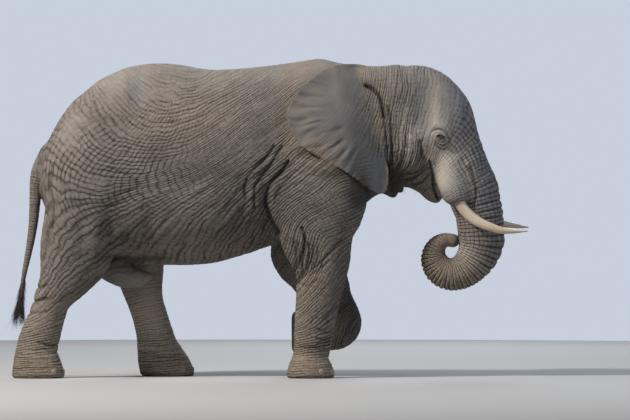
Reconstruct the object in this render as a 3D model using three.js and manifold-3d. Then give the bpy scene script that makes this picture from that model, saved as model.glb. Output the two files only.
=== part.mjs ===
// African bush elephant bull, life size, walking, with its left forefoot lifted and its trunk curled
// under its tusks. Units are millimetres: +X is forward, +Y is the animal's left and +Z is up, and the
// floor is z = 0.
//
// The flesh is one smooth body: a long barrel whose outline is set at stations along X, limbs and face
// as tapering tubes along bent paths, and a few rounded masses, all run together with soft unions.
// It is meshed once, then parted with thin plane cuts into the pieces a person would name. The trunk,
// tail, ears, tusks, eyes and nails are separate pieces that fit it.
import * as THREE from "three";
import { mergeVertices } from "three/addons/utils/BufferGeometryUtils.js";
import Module from "manifold-3d";

const wasm = await Module();
wasm.setup();

// ---------------------------------------------------------------- driving dimensions
const GAP = 0.6; // width of the thin cuts between neighbours
const CELL = 114; // mesh size of the body
const FLATTEN = 24; // how far the body's mesh may stray where its faces are run together
const FLESH_BOX = { low: [-2740, -1013, -360], high: [2440, 1020, 3300] }; // where it is meshed
const BELOW_FLOOR = 120; // the feet carry on this far below the floor, which then cuts them flat
const RIGHT = -1;
const LEFT = 1;
const ROOM = 4000; // larger than the animal, for cutting blocks

const EAR_THICK = 26;
const EAR_RIM = 16;
const EYE_RADIUS = 24;
const NAIL = { deep: 24, wide: 56, tall: 44, sunk: 4 };

// Barrel and neck: x, top, bottom, half width, height of the widest point, roundness above, below.
const BARREL = [
  [-2300, 2540, 1400, 410, 2000, 2.0, 2.1],
  [-1900, 2815, 1330, 500, 1980, 1.95, 2.1],
  [-1700, 2972, 1230, 540, 1960, 1.9, 2.1],
  [-1350, 3112, 1140, 585, 1880, 1.8, 2.1],
  [-1000, 3134, 1118, 608, 1820, 1.75, 2.1],
  [-600, 3076, 1133, 614, 1800, 1.75, 2.1],
  [-300, 3086, 1208, 592, 1820, 1.75, 2.1],
  [0, 3114, 1308, 545, 1900, 1.75, 2.1],
  [300, 3156, 1400, 482, 2020, 1.75, 2.1],
  [500, 3182, 1480, 435, 2120, 1.75, 2.1],
  [700, 3140, 1570, 402, 2260, 1.85, 2.1],
  [900, 3116, 1690, 370, 2360, 1.9, 2.0],
  [1100, 3110, 1830, 335, 2460, 1.95, 2],
  [1250, 3106, 1795, 322, 2480, 1.97, 2],
  [1350, 3100, 1950, 310, 2500, 2.0, 2.0],
];
const BARREL_ENDS = { rear: -1900, rearCap: 400, front: 1250, frontCap: 230 };

// Tubes: x, y, z of the middle line, half thickness fore and aft, half width sideways.
const HINDLEG_RIGHT = [
  [-1720, -300, 2300, 400, 200],
  [-1790, -350, 1950, 450, 240],
  [-1820, -375, 1650, 420, 250],
  [-1900, -375, 1330, 385, 240],
  [-2010, -365, 1050, 275, 215],
  [-2105, -355, 890, 212, 198],
  [-2170, -350, 770, 186, 186],
  [-2205, -345, 660, 180, 178],
  [-2252, -340, 520, 190, 174],
  [-2300, -335, 370, 205, 174],
  [-2325, -335, 250, 210, 182],
  [-2318, -335, 120, 242, 208],
  [-2306, -335, 10, 265, 228],
  [-2306, -335, -90, 268, 230],
];
const HINDLEG_LEFT = [
  [-1700, 300, 2300, 400, 200],
  [-1620, 350, 1950, 440, 240],
  [-1520, 375, 1650, 420, 250],
  [-1400, 375, 1330, 335, 235],
  [-1320, 360, 1070, 250, 212],
  [-1290, 350, 900, 207, 195],
  [-1252, 345, 740, 180, 182],
  [-1205, 342, 590, 178, 176],
  [-1160, 340, 420, 187, 176],
  [-1125, 338, 265, 212, 184],
  [-1082, 336, 140, 245, 208],
  [-1030, 335, 10, 268, 228],
  [-1025, 335, -90, 270, 230],
];
const FORELEG_RIGHT = [
  [600, -300, 2450, 330, 150],
  [560, -340, 2150, 420, 190],
  [490, -375, 1800, 480, 225],
  [468, -378, 1580, 400, 228],
  [465, -375, 1400, 358, 225],
  [505, -365, 1220, 302, 215],
  [515, -360, 1045, 255, 205],
  [495, -355, 890, 233, 196],
  [475, -350, 740, 220, 190],
  [453, -345, 585, 206, 184],
  [437, -342, 432, 198, 178],
  [418, -340, 280, 183, 174],
  [398, -340, 200, 175, 178],
  [400, -340, 120, 200, 205],
  [405, -340, 20, 240, 232],
  [405, -340, -80, 245, 235],
];
const FORELEG_LEFT = [
  [580, 300, 2450, 330, 150],
  [560, 340, 2150, 420, 190],
  [500, 375, 1800, 450, 225],
  [430, 380, 1450, 380, 225],
  [320, 375, 1240, 318, 215],
  [425, 365, 1080, 286, 205],
  [520, 358, 930, 268, 198],
  [590, 350, 760, 235, 192],
  [680, 345, 590, 225, 185],
  [705, 342, 520, 212, 178],
  [670, 340, 465, 200, 176],
  [600, 340, 450, 195, 178],
  [520, 340, 448, 195, 182],
  [400, 340, 442, 200, 195],
  [290, 340, 438, 215, 212],
];
const LIFTED_SOLE = { x: 212, top: 720, edge: 50 }; // flat sole, its height limit, its round edge
const FACE = [
  [1670, 0, 2515, 370, 290],
  [1767, 0, 2314, 340, 255],
  [1920, 0, 2035, 292, 215],
  [2018, 0, 1880, 268, 195],
  [2062, 0, 1735, 248, 180],
  [2095, 0, 1630, 238, 172],
  [2115, 0, 1400, 232, 160],
];
const JAW = [
  [1330, 0, 2250, 330, 235],
  [1450, 0, 2090, 200, 200],
  [1545, 0, 1945, 118, 140],
  [1618, 0, 1845, 90, 95],
  [1655, 0, 1795, 58, 65],
];
const TUSK_SHEATH = [
  [1790, 150, 2130, 130, 125],
  [1815, 165, 1930, 130, 115],
  [1838, 176, 1838, 118, 98],
];
const TAIL_ROOT = [
  [-2200, 0, 2230, 110, 90],
  [-2290, 0, 2090, 88, 76],
  [-2332, 0, 1960, 72, 68],
  [-2345, 0, 1830, 62, 60],
];
const GROIN_SHEATH = [
  [-1760, 0, 1240, 120, 80],
  [-1600, 0, 1090, 135, 92],
  [-1450, 0, 1010, 124, 90],
  [-1330, 0, 985, 92, 74],
  [-1240, 0, 1000, 56, 50],
  [-1195, 0, 1018, 22, 22],
];
const TRUNK = [
  [2110, 0, 1480, 236, 164],
  [2120, 0, 1390, 230, 158],
  [2105, 0, 1290, 217, 150],
  [2055, 0, 1180, 198, 140],
  [1945, 0, 1065, 175, 130],
  [1810, 0, 1025, 163, 120],
  [1695, 0, 1075, 152, 110],
  [1635, 0, 1190, 128, 98],
  [1662, 0, 1305, 98, 86],
  [1735, 0, 1368, 74, 76],
  [1806, 0, 1372, 62, 66],
  [1864, 0, 1354, 54, 56],
];
const CURL_MIDDLE = [1790, 0, 1245]; // the open middle of the curled trunk
const TAIL = [
  [-2338, 0, 1895, 66, 63],
  [-2352, 0, 1730, 56, 54],
  [-2364, 0, 1570, 50, 47],
  [-2388, 0, 1390, 42, 40],
  [-2424, 0, 1200, 34, 33],
  [-2464, 0, 1000, 26, 26],
  [-2488, 0, 820, 23, 24],
];
const TAIL_TUFT = [
  [-2489, 0, 816, 24, 26],
  [-2500, 0, 740, 62, 36],
  [-2515, 0, 640, 72, 38],
  [-2533, 0, 540, 48, 28],
  [-2552, 0, 455, 12, 12],
];
const TUSK = [
  [1845, 168, 1875, 60, 60],
  [1868, 174, 1800, 58, 58],
  [1905, 184, 1722, 55, 55],
  [1960, 198, 1648, 54, 54],
  [2035, 215, 1582, 53, 53],
  [2110, 232, 1538, 48, 48],
  [2190, 246, 1506, 43, 43],
  [2306, 256, 1470, 34, 34],
  [2400, 252, 1460, 24, 24],
  [2490, 240, 1458, 13, 13],
  [2575, 224, 1463, 3, 3],
];
// The left one runs higher towards its end.
const TUSK_LEFT = [
  ...TUSK.slice(0, 5),
  [2110, 232, 1552, 49, 49],
  [2190, 246, 1540, 45, 45],
  [2306, 256, 1530, 37, 37],
  [2400, 252, 1518, 30, 30],
  [2500, 240, 1502, 19, 19],
  [2595, 222, 1494, 4, 4],
];

// Rounded masses and hollows: middle x, y, z, then half sizes.
const SKULL = [1450, 0, 2525, 556, 355, 594];
const CHEEK = [1430, 0, 2300, 270, 285, 375];
const TEMPLE = [1640, 420, 2680, 210, 130, 230];

// Ear outline in the x-z plane, from the top of the neck round the back and up the front edge.
const EAR_OUTLINE = [
  [900, 3105], [750, 3128], [600, 3108], [430, 3000], [285, 2860], [165, 2650], [208, 2470],
  [336, 2290], [540, 2168], [760, 2045], [970, 1890], [1100, 1832], [1172, 1885], [1182, 2070],
  [1160, 2290], [1105, 2530], [1075, 2720], [1040, 2900], [990, 3040],
];
const EAR_MIDDLE = [760, 2520];
const EAR_SHARES = [0.35, 0.65, 0.86, 0.97]; // rings of the sheet, as shares of its outline
const EAR_SPAN = 600; // about half the ear's width
const EAR_ROOT = { low: [1165, 2250], high: [1035, 2960], sunk: 14 }; // where it joins the head
const EAR_LOBE = { out: 55, over: 350, front: 0.2 }; // how the lobe and front edge stand out
// The left ear: out from the neck in radians, and its lobe forward below a height.
const LEFT_EAR = { swing: 0.52, forward: 0.2, under: 2760 };
// The right ear hangs beside the neck: its distance from the middle at the top and how much more
// further down, how its lower edge comes in, and its waves.
const RIGHT_EAR = {
  top: 3160, tall: 1150, near: 190, more: 430, tuck: 90, tuckFrom: 0.75, tuckOver: 0.4, over: 400,
  wave: 14, waveLong: 70, waveTall: 95, waveBelow: 2350, waveOver: 300,
};

// ---------------------------------------------------------------- curves
const mix = (a, b, t) => a + (b - a) * t;
const clamp = (v, low = 0, high = 1) => Math.min(high, Math.max(low, v));
const smooth = (t) => clamp(t) ** 2 * (3 - 2 * clamp(t));

// Cubic through rows whose first column rises, as a function of that column.
function alongX(rows) {
  const slope = rows.map((row, i) => {
    const before = rows[Math.max(0, i - 1)];
    const after = rows[Math.min(rows.length - 1, i + 1)];
    return row.map((_, c) => (after[c] - before[c]) / (after[0] - before[0]));
  });
  return (x) => {
    let i = 0;
    while (i < rows.length - 2 && x > rows[i + 1][0]) i += 1;
    const width = rows[i + 1][0] - rows[i][0];
    const t = clamp((x - rows[i][0]) / width);
    const [t2, t3] = [t * t, t * t * t];
    return rows[i].map(
      (a, c) =>
        a * (2 * t3 - 3 * t2 + 1) +
        rows[i + 1][c] * (3 * t2 - 2 * t3) +
        width * (slope[i][c] * (t3 - 2 * t2 + t) + slope[i + 1][c] * (t3 - t2)),
    );
  };
}

// Catmull-Rom samples through rows of numbers, `steps` to each interval.
function sampled(rows, steps, closed = false) {
  const n = rows.length;
  const at = (i) => (closed ? rows[(i + n) % n] : rows[clamp(i, 0, n - 1)]);
  const out = [];
  for (let i = 0; i < (closed ? n : n - 1); i += 1)
    for (let s = 0; s < steps; s += 1) {
      const t = s / steps;
      out.push(
        at(i).map((b, c) => {
          const [a, d, e] = [at(i - 1)[c], at(i + 1)[c], at(i + 2)[c]];
          return (
            b + 0.5 * t * (d - a + t * (2 * a - 5 * b + 4 * d - e + t * (3 * (b - d) + e - a)))
          );
        }),
      );
    }
  if (!closed) out.push(rows[n - 1]);
  return out;
}

const mirrored = (rows) => rows.map(([x, y, z, ...rest]) => [x, -y, z, ...rest]);

// ---------------------------------------------------------------- soft solids
// Each is a function of x, y, z that is below 0 inside and close to a distance near the surface.
function barrel(x, y, z) {
  const [, top, bottom, wide, middle, above, below] = barrelAt(x);
  const { rear, rearCap, front, frontCap } = BARREL_ENDS;
  const cap = x < rear ? (rear - x) / rearCap : Math.max(0, (x - front) / frontCap);
  const shrink = Math.sqrt(Math.max(1 - cap * cap, 1e-4));
  const half = (z > middle ? top - middle : middle - bottom) * shrink;
  const d = roundDistance(Math.abs(z - middle), y, half, wide * shrink, z > middle ? above : below);
  const past = (cap - 1) * (x < 0 ? rearCap : frontCap);
  return cap > 1 ? Math.hypot(Math.max(d, 0), past) : d;
}
const barrelAt = alongX(BARREL);

// Distance to an ellipse-like section with half sizes a and b and a given roundness.
function roundDistance(u, v, a, b, n = 2) {
  const [p, q] = [Math.abs(u) / a, Math.abs(v) / b];
  const g = (p ** n + q ** n) ** (1 / n);
  if (g < 1e-6) return -Math.min(a, b);
  const slope = g ** (1 - n) * Math.hypot(p ** (n - 1) / a, q ** (n - 1) / b);
  return (g - 1) / slope;
}

// A bent, tapering tube whose path lies in an upright plane.
function tube(rows, steps = 3) {
  const path = sampled(rows, steps);
  return (x, y, z) => {
    let best = Infinity;
    for (let i = 0; i < path.length - 1; i += 1) {
      const [p, q] = [path[i], path[i + 1]];
      const [dx, dz] = [q[0] - p[0], q[2] - p[2]];
      const t = clamp(((x - p[0]) * dx + (z - p[2]) * dz) / (dx * dx + dz * dz));
      const aside = Math.hypot(x - p[0] - t * dx, z - p[2] - t * dz);
      const d = roundDistance(aside, y - mix(p[1], q[1], t), mix(p[3], q[3], t), mix(p[4], q[4], t));
      best = Math.min(best, d);
    }
    return best;
  };
}

function mass([cx, cy, cz, rx, ry, rz]) {
  return (x, y, z) => {
    const [u, v, w] = [(x - cx) / rx, (y - cy) / ry, (z - cz) / rz];
    const g = Math.hypot(u, v, w);
    return g < 1e-6 ? -Math.min(rx, ry, rz) : (g * (g - 1)) / Math.hypot(u / rx, v / ry, w / rz);
  };
}

// Union with a soft inner corner of about the radius k.
function soften(a, b, k) {
  const h = Math.max(k - Math.abs(a - b), 0) / k;
  return Math.min(a, b) - (h * h * k) / 4;
}

// The lifted foreleg, cut flat across its sole.
const liftedTube = tube(FORELEG_LEFT);
function liftedForeleg(x, y, z) {
  const behindSole = Math.max(x - LIFTED_SOLE.x, z - LIFTED_SOLE.top);
  return -soften(-liftedTube(x, y, z), behindSole, LIFTED_SOLE.edge);
}

const ADDED = [
  [tube(HINDLEG_RIGHT), 150],
  [tube(HINDLEG_LEFT), 150],
  [tube(FORELEG_RIGHT), 130],
  [liftedForeleg, 130],
  [mass(SKULL), 120],
  [mass(CHEEK), 120],
  [tube(FACE), 110],
  [tube(JAW), 50],
  [tube(TUSK_SHEATH), 60],
  [tube(mirrored(TUSK_SHEATH)), 60],
  [tube(TAIL_ROOT), 90],
];
const HOLLOWS = [
  [mass(TEMPLE), 130],
  [mass(mirrored([TEMPLE])[0]), 130],
];

function flesh(x, y, z) {
  let d = barrel(x, y, z);
  for (const [part, k] of ADDED) d = soften(d, part(x, y, z), k);
  for (const [hollow, k] of HOLLOWS) d = -soften(-d, hollow(x, y, z), k);
  return Math.max(d, -BELOW_FLOOR - z);
}

// ---------------------------------------------------------------- meshes
function toSolid(positions, triangles) {
  const raw = new THREE.BufferGeometry();
  raw.setAttribute("position", new THREE.Float32BufferAttribute(positions, 3));
  raw.setIndex(triangles);
  return solidOf(raw);
}

function solidOf(geometry) {
  const bare = geometry.clone();
  bare.deleteAttribute("normal");
  bare.deleteAttribute("uv");
  const merged = mergeVertices(bare, 1e-3);
  return new wasm.Manifold(
    new wasm.Mesh({
      numProp: 3,
      vertProperties: new Float32Array(merged.attributes.position.array),
      triVerts: new Uint32Array(merged.index.array),
    }),
  );
}

// Surface nets: one vertex in each cell that the surface crosses, one face across each crossed edge,
// and then each vertex is moved onto the surface along the slope of the field.
function meshed(field, low, high, cell) {
  const n = low.map((v, i) => Math.ceil((high[i] - v) / cell) + 1);
  const place = (i, j, k) => [low[0] + i * cell, low[1] + j * cell, low[2] + k * cell];
  const index = (i, j, k) => (k * n[1] + j) * n[0] + i;
  const value = new Float64Array(n[0] * n[1] * n[2]);
  for (let k = 0; k < n[2]; k += 1)
    for (let j = 0; j < n[1]; j += 1)
      for (let i = 0; i < n[0]; i += 1) value[index(i, j, k)] = field(...place(i, j, k));
  const corners = [0, 1, 2, 3, 4, 5, 6, 7].map((c) => [c & 1, (c >> 1) & 1, c >> 2]);
  const vertexOf = new Map();
  const positions = [];
  for (let k = 0; k < n[2] - 1; k += 1)
    for (let j = 0; j < n[1] - 1; j += 1)
      for (let i = 0; i < n[0] - 1; i += 1) {
        const sum = [0, 0, 0, 0];
        corners.forEach(([a, b, c], from) =>
          [1, 2, 4].forEach((bit, axis) => {
            if (from & bit) return;
            const v0 = value[index(i + a, j + b, k + c)];
            const to = corners[from | bit];
            const v1 = value[index(i + to[0], j + to[1], k + to[2])];
            if (v0 < 0 === v1 < 0) return;
            const at = [a, b, c];
            at[axis] += v0 / (v0 - v1);
            at.forEach((v, m) => (sum[m] += v));
            sum[3] += 1;
          }),
        );
        if (!sum[3]) continue;
        vertexOf.set(index(i, j, k), positions.length / 3);
        const [a, b, c] = sum.map((v) => v / sum[3]);
        positions.push(...ontoSurface(field, place(i + a, j + b, k + c)));
      }
  const triangles = [];
  const steps = [index(1, 0, 0), index(0, 1, 0), index(0, 0, 1)];
  for (let k = 1; k < n[2] - 1; k += 1)
    for (let j = 1; j < n[1] - 1; j += 1)
      for (let i = 1; i < n[0] - 1; i += 1)
        steps.forEach((step, axis) => {
          const here = index(i, j, k);
          const [inside, next] = [value[here] < 0, value[here + step] < 0];
          if (inside === next) return;
          const [u, v] = [steps[(axis + 1) % 3], steps[(axis + 2) % 3]];
          const ring = [here - u - v, here - v, here, here - u].map((c) => vertexOf.get(c));
          const [a, b, c, d] = inside ? ring : ring.reverse();
          triangles.push(a, b, c, a, c, d);
        });
  return toSolid(positions, triangles);
}

function ontoSurface(field, start) {
  const point = [...start];
  const reach = 2; // for the slope
  const furthest = 60; // in one move
  for (let pass = 0; pass < 3; pass += 1) {
    const here = field(...point);
    const slope = point.map((v, axis) => {
      const moved = [...point];
      moved[axis] += reach;
      return (field(...moved) - here) / reach;
    });
    const square = slope.reduce((s, v) => s + v * v, 0);
    const move = clamp(here / square, -furthest, furthest);
    point.forEach((_, axis) => (point[axis] -= move * slope[axis]));
  }
  return point;
}

// A closed grid of rings, each a list of points, with a middle point at either end.
function ringed(rings) {
  const around = rings[0].length;
  const middle = (ring) =>
    ring.reduce((s, p) => s.map((v, i) => v + p[i] / ring.length), [0, 0, 0]);
  const positions = rings.flat(2);
  const first = positions.length / 3;
  positions.push(...middle(rings[0]), ...middle(rings[rings.length - 1]));
  const triangles = [];
  for (let s = 0; s < around; s += 1) {
    const e = (s + 1) % around;
    const last = (rings.length - 1) * around;
    triangles.push(first, e, s, first + 1, last + s, last + e);
    for (let r = 0; r < rings.length - 1; r += 1) {
      const [a, b] = [r * around, (r + 1) * around];
      triangles.push(a + s, a + e, b + e, a + s, b + e, b + s);
    }
  }
  return toSolid(positions, triangles);
}

// Rings of an elliptical section carried along a path in an upright plane, and grown on all sides.
function loft(rows, steps, around, grow = 0) {
  const path = sampled(rows, steps);
  const last = path.length - 1;
  const rings = path.map(([midX, y, midZ, a, b], i) => {
    const [p, q] = [path[Math.max(0, i - 1)], path[Math.min(last, i + 1)]];
    const forward = new THREE.Vector2(q[0] - p[0], q[2] - p[2]).normalize();
    const onward = i === 0 ? -grow : i === last ? grow : 0;
    const [x, z] = [midX + onward * forward.x, midZ + onward * forward.y];
    return Array.from({ length: around }, (_, s) => {
      const turn = (2 * Math.PI * s) / around;
      const [u, v] = [(a + grow) * Math.cos(turn), (b + grow) * Math.sin(turn)];
      return [x + forward.y * u, y + v, z - forward.x * u];
    });
  });
  return ringed(rings);
}

// ---------------------------------------------------------------- cutting
const block = solidOf(new THREE.BoxGeometry(2 * ROOM, 2 * ROOM, 2 * ROOM));

// The side of the plane that its normal points away from is kept, up to `beyond` past it.
function below(solid, normal, point, beyond = 0) {
  const n = new THREE.Vector3(...normal).normalize();
  return solid.trimByPlane(n.clone().negate().toArray(), -n.dot(new THREE.Vector3(...point)) - beyond);
}

// A convex region bounded by planes, each [normal, point on it].
const region = (planes, grow = 0) =>
  planes.reduce((solid, [normal, point]) => below(solid, normal, point, grow), block);

// Planes that keep a sector of the x-z plane round a point, from one angle up to another.
function sector(point, from, to) {
  const [a, b] = [from, to].map(THREE.MathUtils.degToRad);
  return [[[Math.sin(a), 0, -Math.cos(a)], point], [[-Math.sin(b), 0, Math.cos(b)], point]];
}

// Parts a solid in two across planes and returns [inside, outside].
function parted(solid, planes) {
  return [solid.intersect(region(planes)), solid.subtract(region(planes, GAP))];
}

// ---------------------------------------------------------------- ears
// The ear's sheet starts from its root on the side of the head. The right ear then stands off from
// the middle plane of the body by a set distance, and the left ear swings out in the open.
function earPoint(side, x, z, out) {
  const [[lowX, lowZ], [highX, highZ]] = [EAR_ROOT.low, EAR_ROOT.high];
  const up = clamp((z - lowZ) / (highZ - lowZ));
  const rootX = mix(lowX, highX, up);
  const onHead = surfacePoint([rootX, 0, mix(lowZ, highZ, up)], [0, 1, 0], EAR_ROOT.sunk)[1];
  const lobeOut = EAR_LOBE.out * smooth((lowZ - z) / EAR_LOBE.over);
  const root = onHead + lobeOut + EAR_LOBE.front * Math.max(0, x - rootX);
  const behind = Math.max(0, rootX - x);
  if (side === LEFT) {
    const lobe = LEFT_EAR.forward * Math.max(0, LEFT_EAR.under - z);
    const back = behind * (1 - Math.cos(LEFT_EAR.swing));
    return [x + lobe + back, root + behind * Math.sin(LEFT_EAR.swing) + out, z];
  }
  const r = RIGHT_EAR;
  const drop = clamp((r.top - z) / r.tall);
  const tuck = r.tuck * smooth((drop - r.tuckFrom) / r.tuckOver);
  const wave = r.wave * Math.sin(x / r.waveLong + z / r.waveTall);
  const flap = r.near + r.more * Math.sqrt(drop) - tuck + wave * smooth((r.waveBelow - z) / r.waveOver);
  return [x, -mix(root, flap, smooth(behind / r.over)) - out, z];
}

function ear(side, grow = 0) {
  const outline = sampled(EAR_OUTLINE, 3, true).filter((_, i) => i % 2 === 0);
  const ring = (share, thick) =>
    outline.map(([x, z]) => {
      const wide = share + grow / EAR_SPAN;
      const at = [mix(EAR_MIDDLE[0], x, wide), mix(EAR_MIDDLE[1], z, wide)];
      return earPoint(side, ...at, thick);
    });
  const sheet = (face) =>
    EAR_SHARES.map((share) => {
      const half = mix(EAR_THICK, EAR_RIM, share ** 2) / 2;
      return ring(share, face * (half + grow));
    });
  const rings = [...sheet(1), ring(1, 0), ...sheet(-1).reverse()];
  return ringed(side === LEFT ? rings : rings.reverse());
}

// ---------------------------------------------------------------- eyes and nails
const EYE = { x: 1702, z: 2402, sunk: 12 };
const LONGEST_RAY = 700;
const RAY_STEP = 1e-4;

// The point where a ray from inside the flesh comes out of it, moved back by `sunk`.
function surfacePoint(from, direction, sunk) {
  let [inside, outside] = [0, LONGEST_RAY];
  const along = (t) => from.map((v, axis) => v + t * direction[axis]);
  while (outside - inside > RAY_STEP) {
    const middle = (inside + outside) / 2;
    if (flesh(...along(middle)) < 0) inside = middle;
    else outside = middle;
  }
  return along(inside - sunk);
}

const ball = (radius) => new THREE.SphereGeometry(radius, 8, 5).rotateX(Math.PI / 2);

function eye(side, grow = 0) {
  const centre = surfacePoint([EYE.x, 0, EYE.z], [0, side, 0], EYE.sunk);
  return solidOf(ball(EYE_RADIUS + grow).translate(...centre));
}

// Nails stand round the toe of each foot: a middle point in the foot, the way its toe points and
// the angles of the nails from that way.
const FEET = {
  front_right: { middle: [402, -340, 62], toe: [1, 0, 0], turns: [-60, -21, 19, 57] },
  hind_right: { middle: [-2312, -335, 62], toe: [1, 0, 0], turns: [-44, 0, 42] },
  hind_left: { middle: [-1055, 335, 62], toe: [1, 0, 0], turns: [-42, 0, 44] },
  front_left: { middle: [272, 340, 440], toe: [0, 0, -1], turns: [-57, -19, 21, 60] },
};

function nail({ middle, toe }, degrees, grow = 0) {
  const out = new THREE.Vector3(...toe);
  const up = new THREE.Vector3(toe[2], 0, toe[0]);
  out.applyAxisAngle(up, THREE.MathUtils.degToRad(degrees));
  const across = new THREE.Vector3().crossVectors(up, out);
  const shape = ball(1).scale(NAIL.deep + grow, NAIL.wide + grow, NAIL.tall + grow);
  shape.applyMatrix4(new THREE.Matrix4().makeBasis(out, across, up));
  return solidOf(shape.translate(...surfacePoint(middle, out.toArray(), NAIL.sunk)));
}

// ---------------------------------------------------------------- the animal in pieces
const pieces = {};
const onFloor = (solid) => solid.subtract(block.translate([0, 0, -ROOM]));

// Legs: the part of the body that holds each leg, then the cuts that part it down its length.
const besideMiddle = (side) => [[0, -side, 0.12], [0, side * 112, 1050]];
const LEGS = {
  front_right: {
    within: [
      besideMiddle(RIGHT), [[-1, 0, 0.12], [225, 0, 1300]], [[1, 0, 0.35], [815, 0, 1450]],
      [[0.25, 0, 1], [500, 0, 2080]],
    ],
    knee: [[[0.15, 0, 1], [500, 0, 1130]]],
    foot: [[[-0.05, 0, 1], [410, 0, 215]]],
  },
  front_left: {
    within: [
      besideMiddle(LEFT), [[-1, 0, 0.12], [-15, 0, 1300]], [[1, 0, 0.35], [815, 0, 1450]],
      [[0.25, 0, 1], [500, 0, 2080]],
    ],
    knee: [[[-0.5, 0, 0.87], [390, 0, 1120]]],
    foot: [[[1, 0, 0.1], [500, 0, 450]], [[0, 0, 1], [0, 0, LIFTED_SOLE.top - 20]]],
  },
  hind_right: {
    within: [besideMiddle(RIGHT), [[1, 0, 0.16], [-1560, 0, 1150]], [[0, 0, 1], [0, 0, 2050]]],
    knee: [[[-0.2, 0, 1], [-2000, 0, 930]]],
    foot: [[[0.1, 0, 1], [-2325, 0, 235]]],
  },
  hind_left: {
    within: [besideMiddle(LEFT), [[1, 0, 0.3], [-1060, 0, 1150]], [[0, 0, 1], [0, 0, 2050]]],
    knee: [[[-0.2, 0, 1], [-1330, 0, 1000]]],
    foot: [[[0.3, 0, 1], [-1120, 0, 240]]],
  },
};

let body = onFloor(meshed(flesh, FLESH_BOX.low, FLESH_BOX.high, CELL).simplify(FLATTEN));
for (const [leg, { within, knee, foot }] of Object.entries(LEGS)) {
  let limb;
  [limb, body] = parted(body, within);
  [limb, pieces[`upper_leg_${leg}`]] = parted(limb, knee);
  [pieces[`foot_${leg}`], pieces[`lower_leg_${leg}`]] = parted(limb, foot);
}

// Head, neck, jaw, upper trunk and the root of the tail.
const TRUNK_CUT = [[0.05, 0, 1], [2100, 0, 1470]];
const FACE_CUT = [[-0.59, 0, 0.81], [1750, 0, 1745]];
let head;
[head, body] = parted(body, [[[-1, 0, -0.12], [1150, 0, 2500]]]);
[pieces.neck, pieces.body] = parted(body, [[[-1, 0, 0.42], [800, 0, 2000]]]);
[, head] = parted(head, [TRUNK_CUT]);
[pieces.trunk_upper, head] = parted(head, [FACE_CUT, [[-1, 0, 0], [1690, 0, 0]]]);
[pieces.jaw, head] = parted(head, [
  [[0.68, 0, 0.73], [1500, 0, 2055]], [[1, 0, 0.1], [1700, 0, 1800]],
]);
[pieces.hind_quarters, pieces.body] = parted(pieces.body, [[[1, 0, 0.2], [-1150, 0, 2000]]]);
[pieces.tail_root, pieces.hind_quarters] = parted(pieces.hind_quarters, [
  [[0.5, 0, 1], [-2270, 0, 2130]], [[1, 0, 0.1], [-2215, 0, 2050]], [[0, 1, 0], [0, 130, 0]],
  [[0, -1, 0], [0, -130, 0]],
]);

// The curled trunk and the tail are rings along their paths, parted into lengths.
let trunk = below(loft(TRUNK, 2, 12), ...TRUNK_CUT, -GAP);
[pieces.trunk_tip, trunk] = parted(trunk, [
  ...sector(CURL_MIDDLE, 62, 165), [[1, 0, 0], [1874, 0, 0]],
]);
[pieces.trunk_curl, pieces.trunk_middle] = parted(trunk, sector(CURL_MIDDLE, 165, 300));
const TAIL_CUT = [[0.08, 0, 1], [-2338, 0, 1880]];
pieces.tail_root = pieces.tail_root.subtract(region([TAIL_CUT], GAP));
const wholeTail = below(loft(TAIL, 2, 8), TAIL_CUT[0], TAIL_CUT[1]);
[pieces.tail_end, pieces.tail_middle] = parted(wholeTail, [[[-0.12, 0, 1], [-2400, 0, 1330]]]);
pieces.tail_tuft = loft(TAIL_TUFT, 2, 8);
pieces.tail_end = pieces.tail_end.subtract(loft(TAIL_TUFT, 2, 8, GAP));

// Ears, tusks, eyes and groin sheath plug into the flesh, which is cut back from them by a thin gap.
pieces.head = head;
const groin = (grow = 0) => loft(GROIN_SHEATH, 2, 10, grow);
const plugs = [["groin_sheath", groin(), groin(GAP)]];
for (const [side, name] of [[RIGHT, "right"], [LEFT, "left"]]) {
  const tusk = side === RIGHT ? mirrored(TUSK) : TUSK_LEFT;
  plugs.push([`tusk_${name}`, loft(tusk, 1, 10), loft(tusk, 1, 10, GAP)]);
  plugs.push([`eye_${name}`, eye(side), eye(side, GAP)]);
  plugs.push([`ear_${name}`, ear(side), ear(side, GAP)]);
}
const sockets = wasm.Manifold.union(plugs.map(([, , grown]) => grown));
for (const name of Object.keys(pieces)) pieces[name] = pieces[name].subtract(sockets);
for (const [name, plug] of plugs) pieces[name] = plug;

// Nails, each let into its foot.
for (const [foot, shape] of Object.entries(FEET))
  shape.turns.forEach((degrees, i) => {
    pieces[`nail_${foot}_${i + 1}`] = nail(shape, degrees);
    pieces[`foot_${foot}`] = pieces[`foot_${foot}`].subtract(nail(shape, degrees, GAP));
  });

// ---------------------------------------------------------------- the scene graph
const paint = (color, roughness) =>
  new THREE.MeshStandardMaterial({ color, roughness, metalness: 0 });
const HIDE = paint(0x857d72, 0.9);
const COLOURS = {
  tusk: paint(0xd8cbb4, 0.45),
  eye: paint(0x33241a, 0.15),
  nail: paint(0x8d8069, 0.6),
  tail_tuft: paint(0x2b2825, 0.8),
};

function meshOf(solid, name) {
  const { vertProperties, triVerts } = solid.getMesh();
  const geometry = new THREE.BufferGeometry();
  geometry.setAttribute("position", new THREE.BufferAttribute(new Float32Array(vertProperties), 3));
  geometry.setIndex(new THREE.BufferAttribute(new Uint32Array(triVerts), 1));
  const kind = Object.keys(COLOURS).find((key) => name.startsWith(key));
  const mesh = new THREE.Mesh(geometry, COLOURS[kind] ?? HIDE);
  mesh.name = name;
  return mesh;
}

const largest = (solid) =>
  solid.decompose().reduce((best, next) => (next.volume() > best.volume() ? next : best));

const elephant = new THREE.Group();
for (const [name, solid] of Object.entries(pieces)) elephant.add(meshOf(largest(solid), name));

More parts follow.
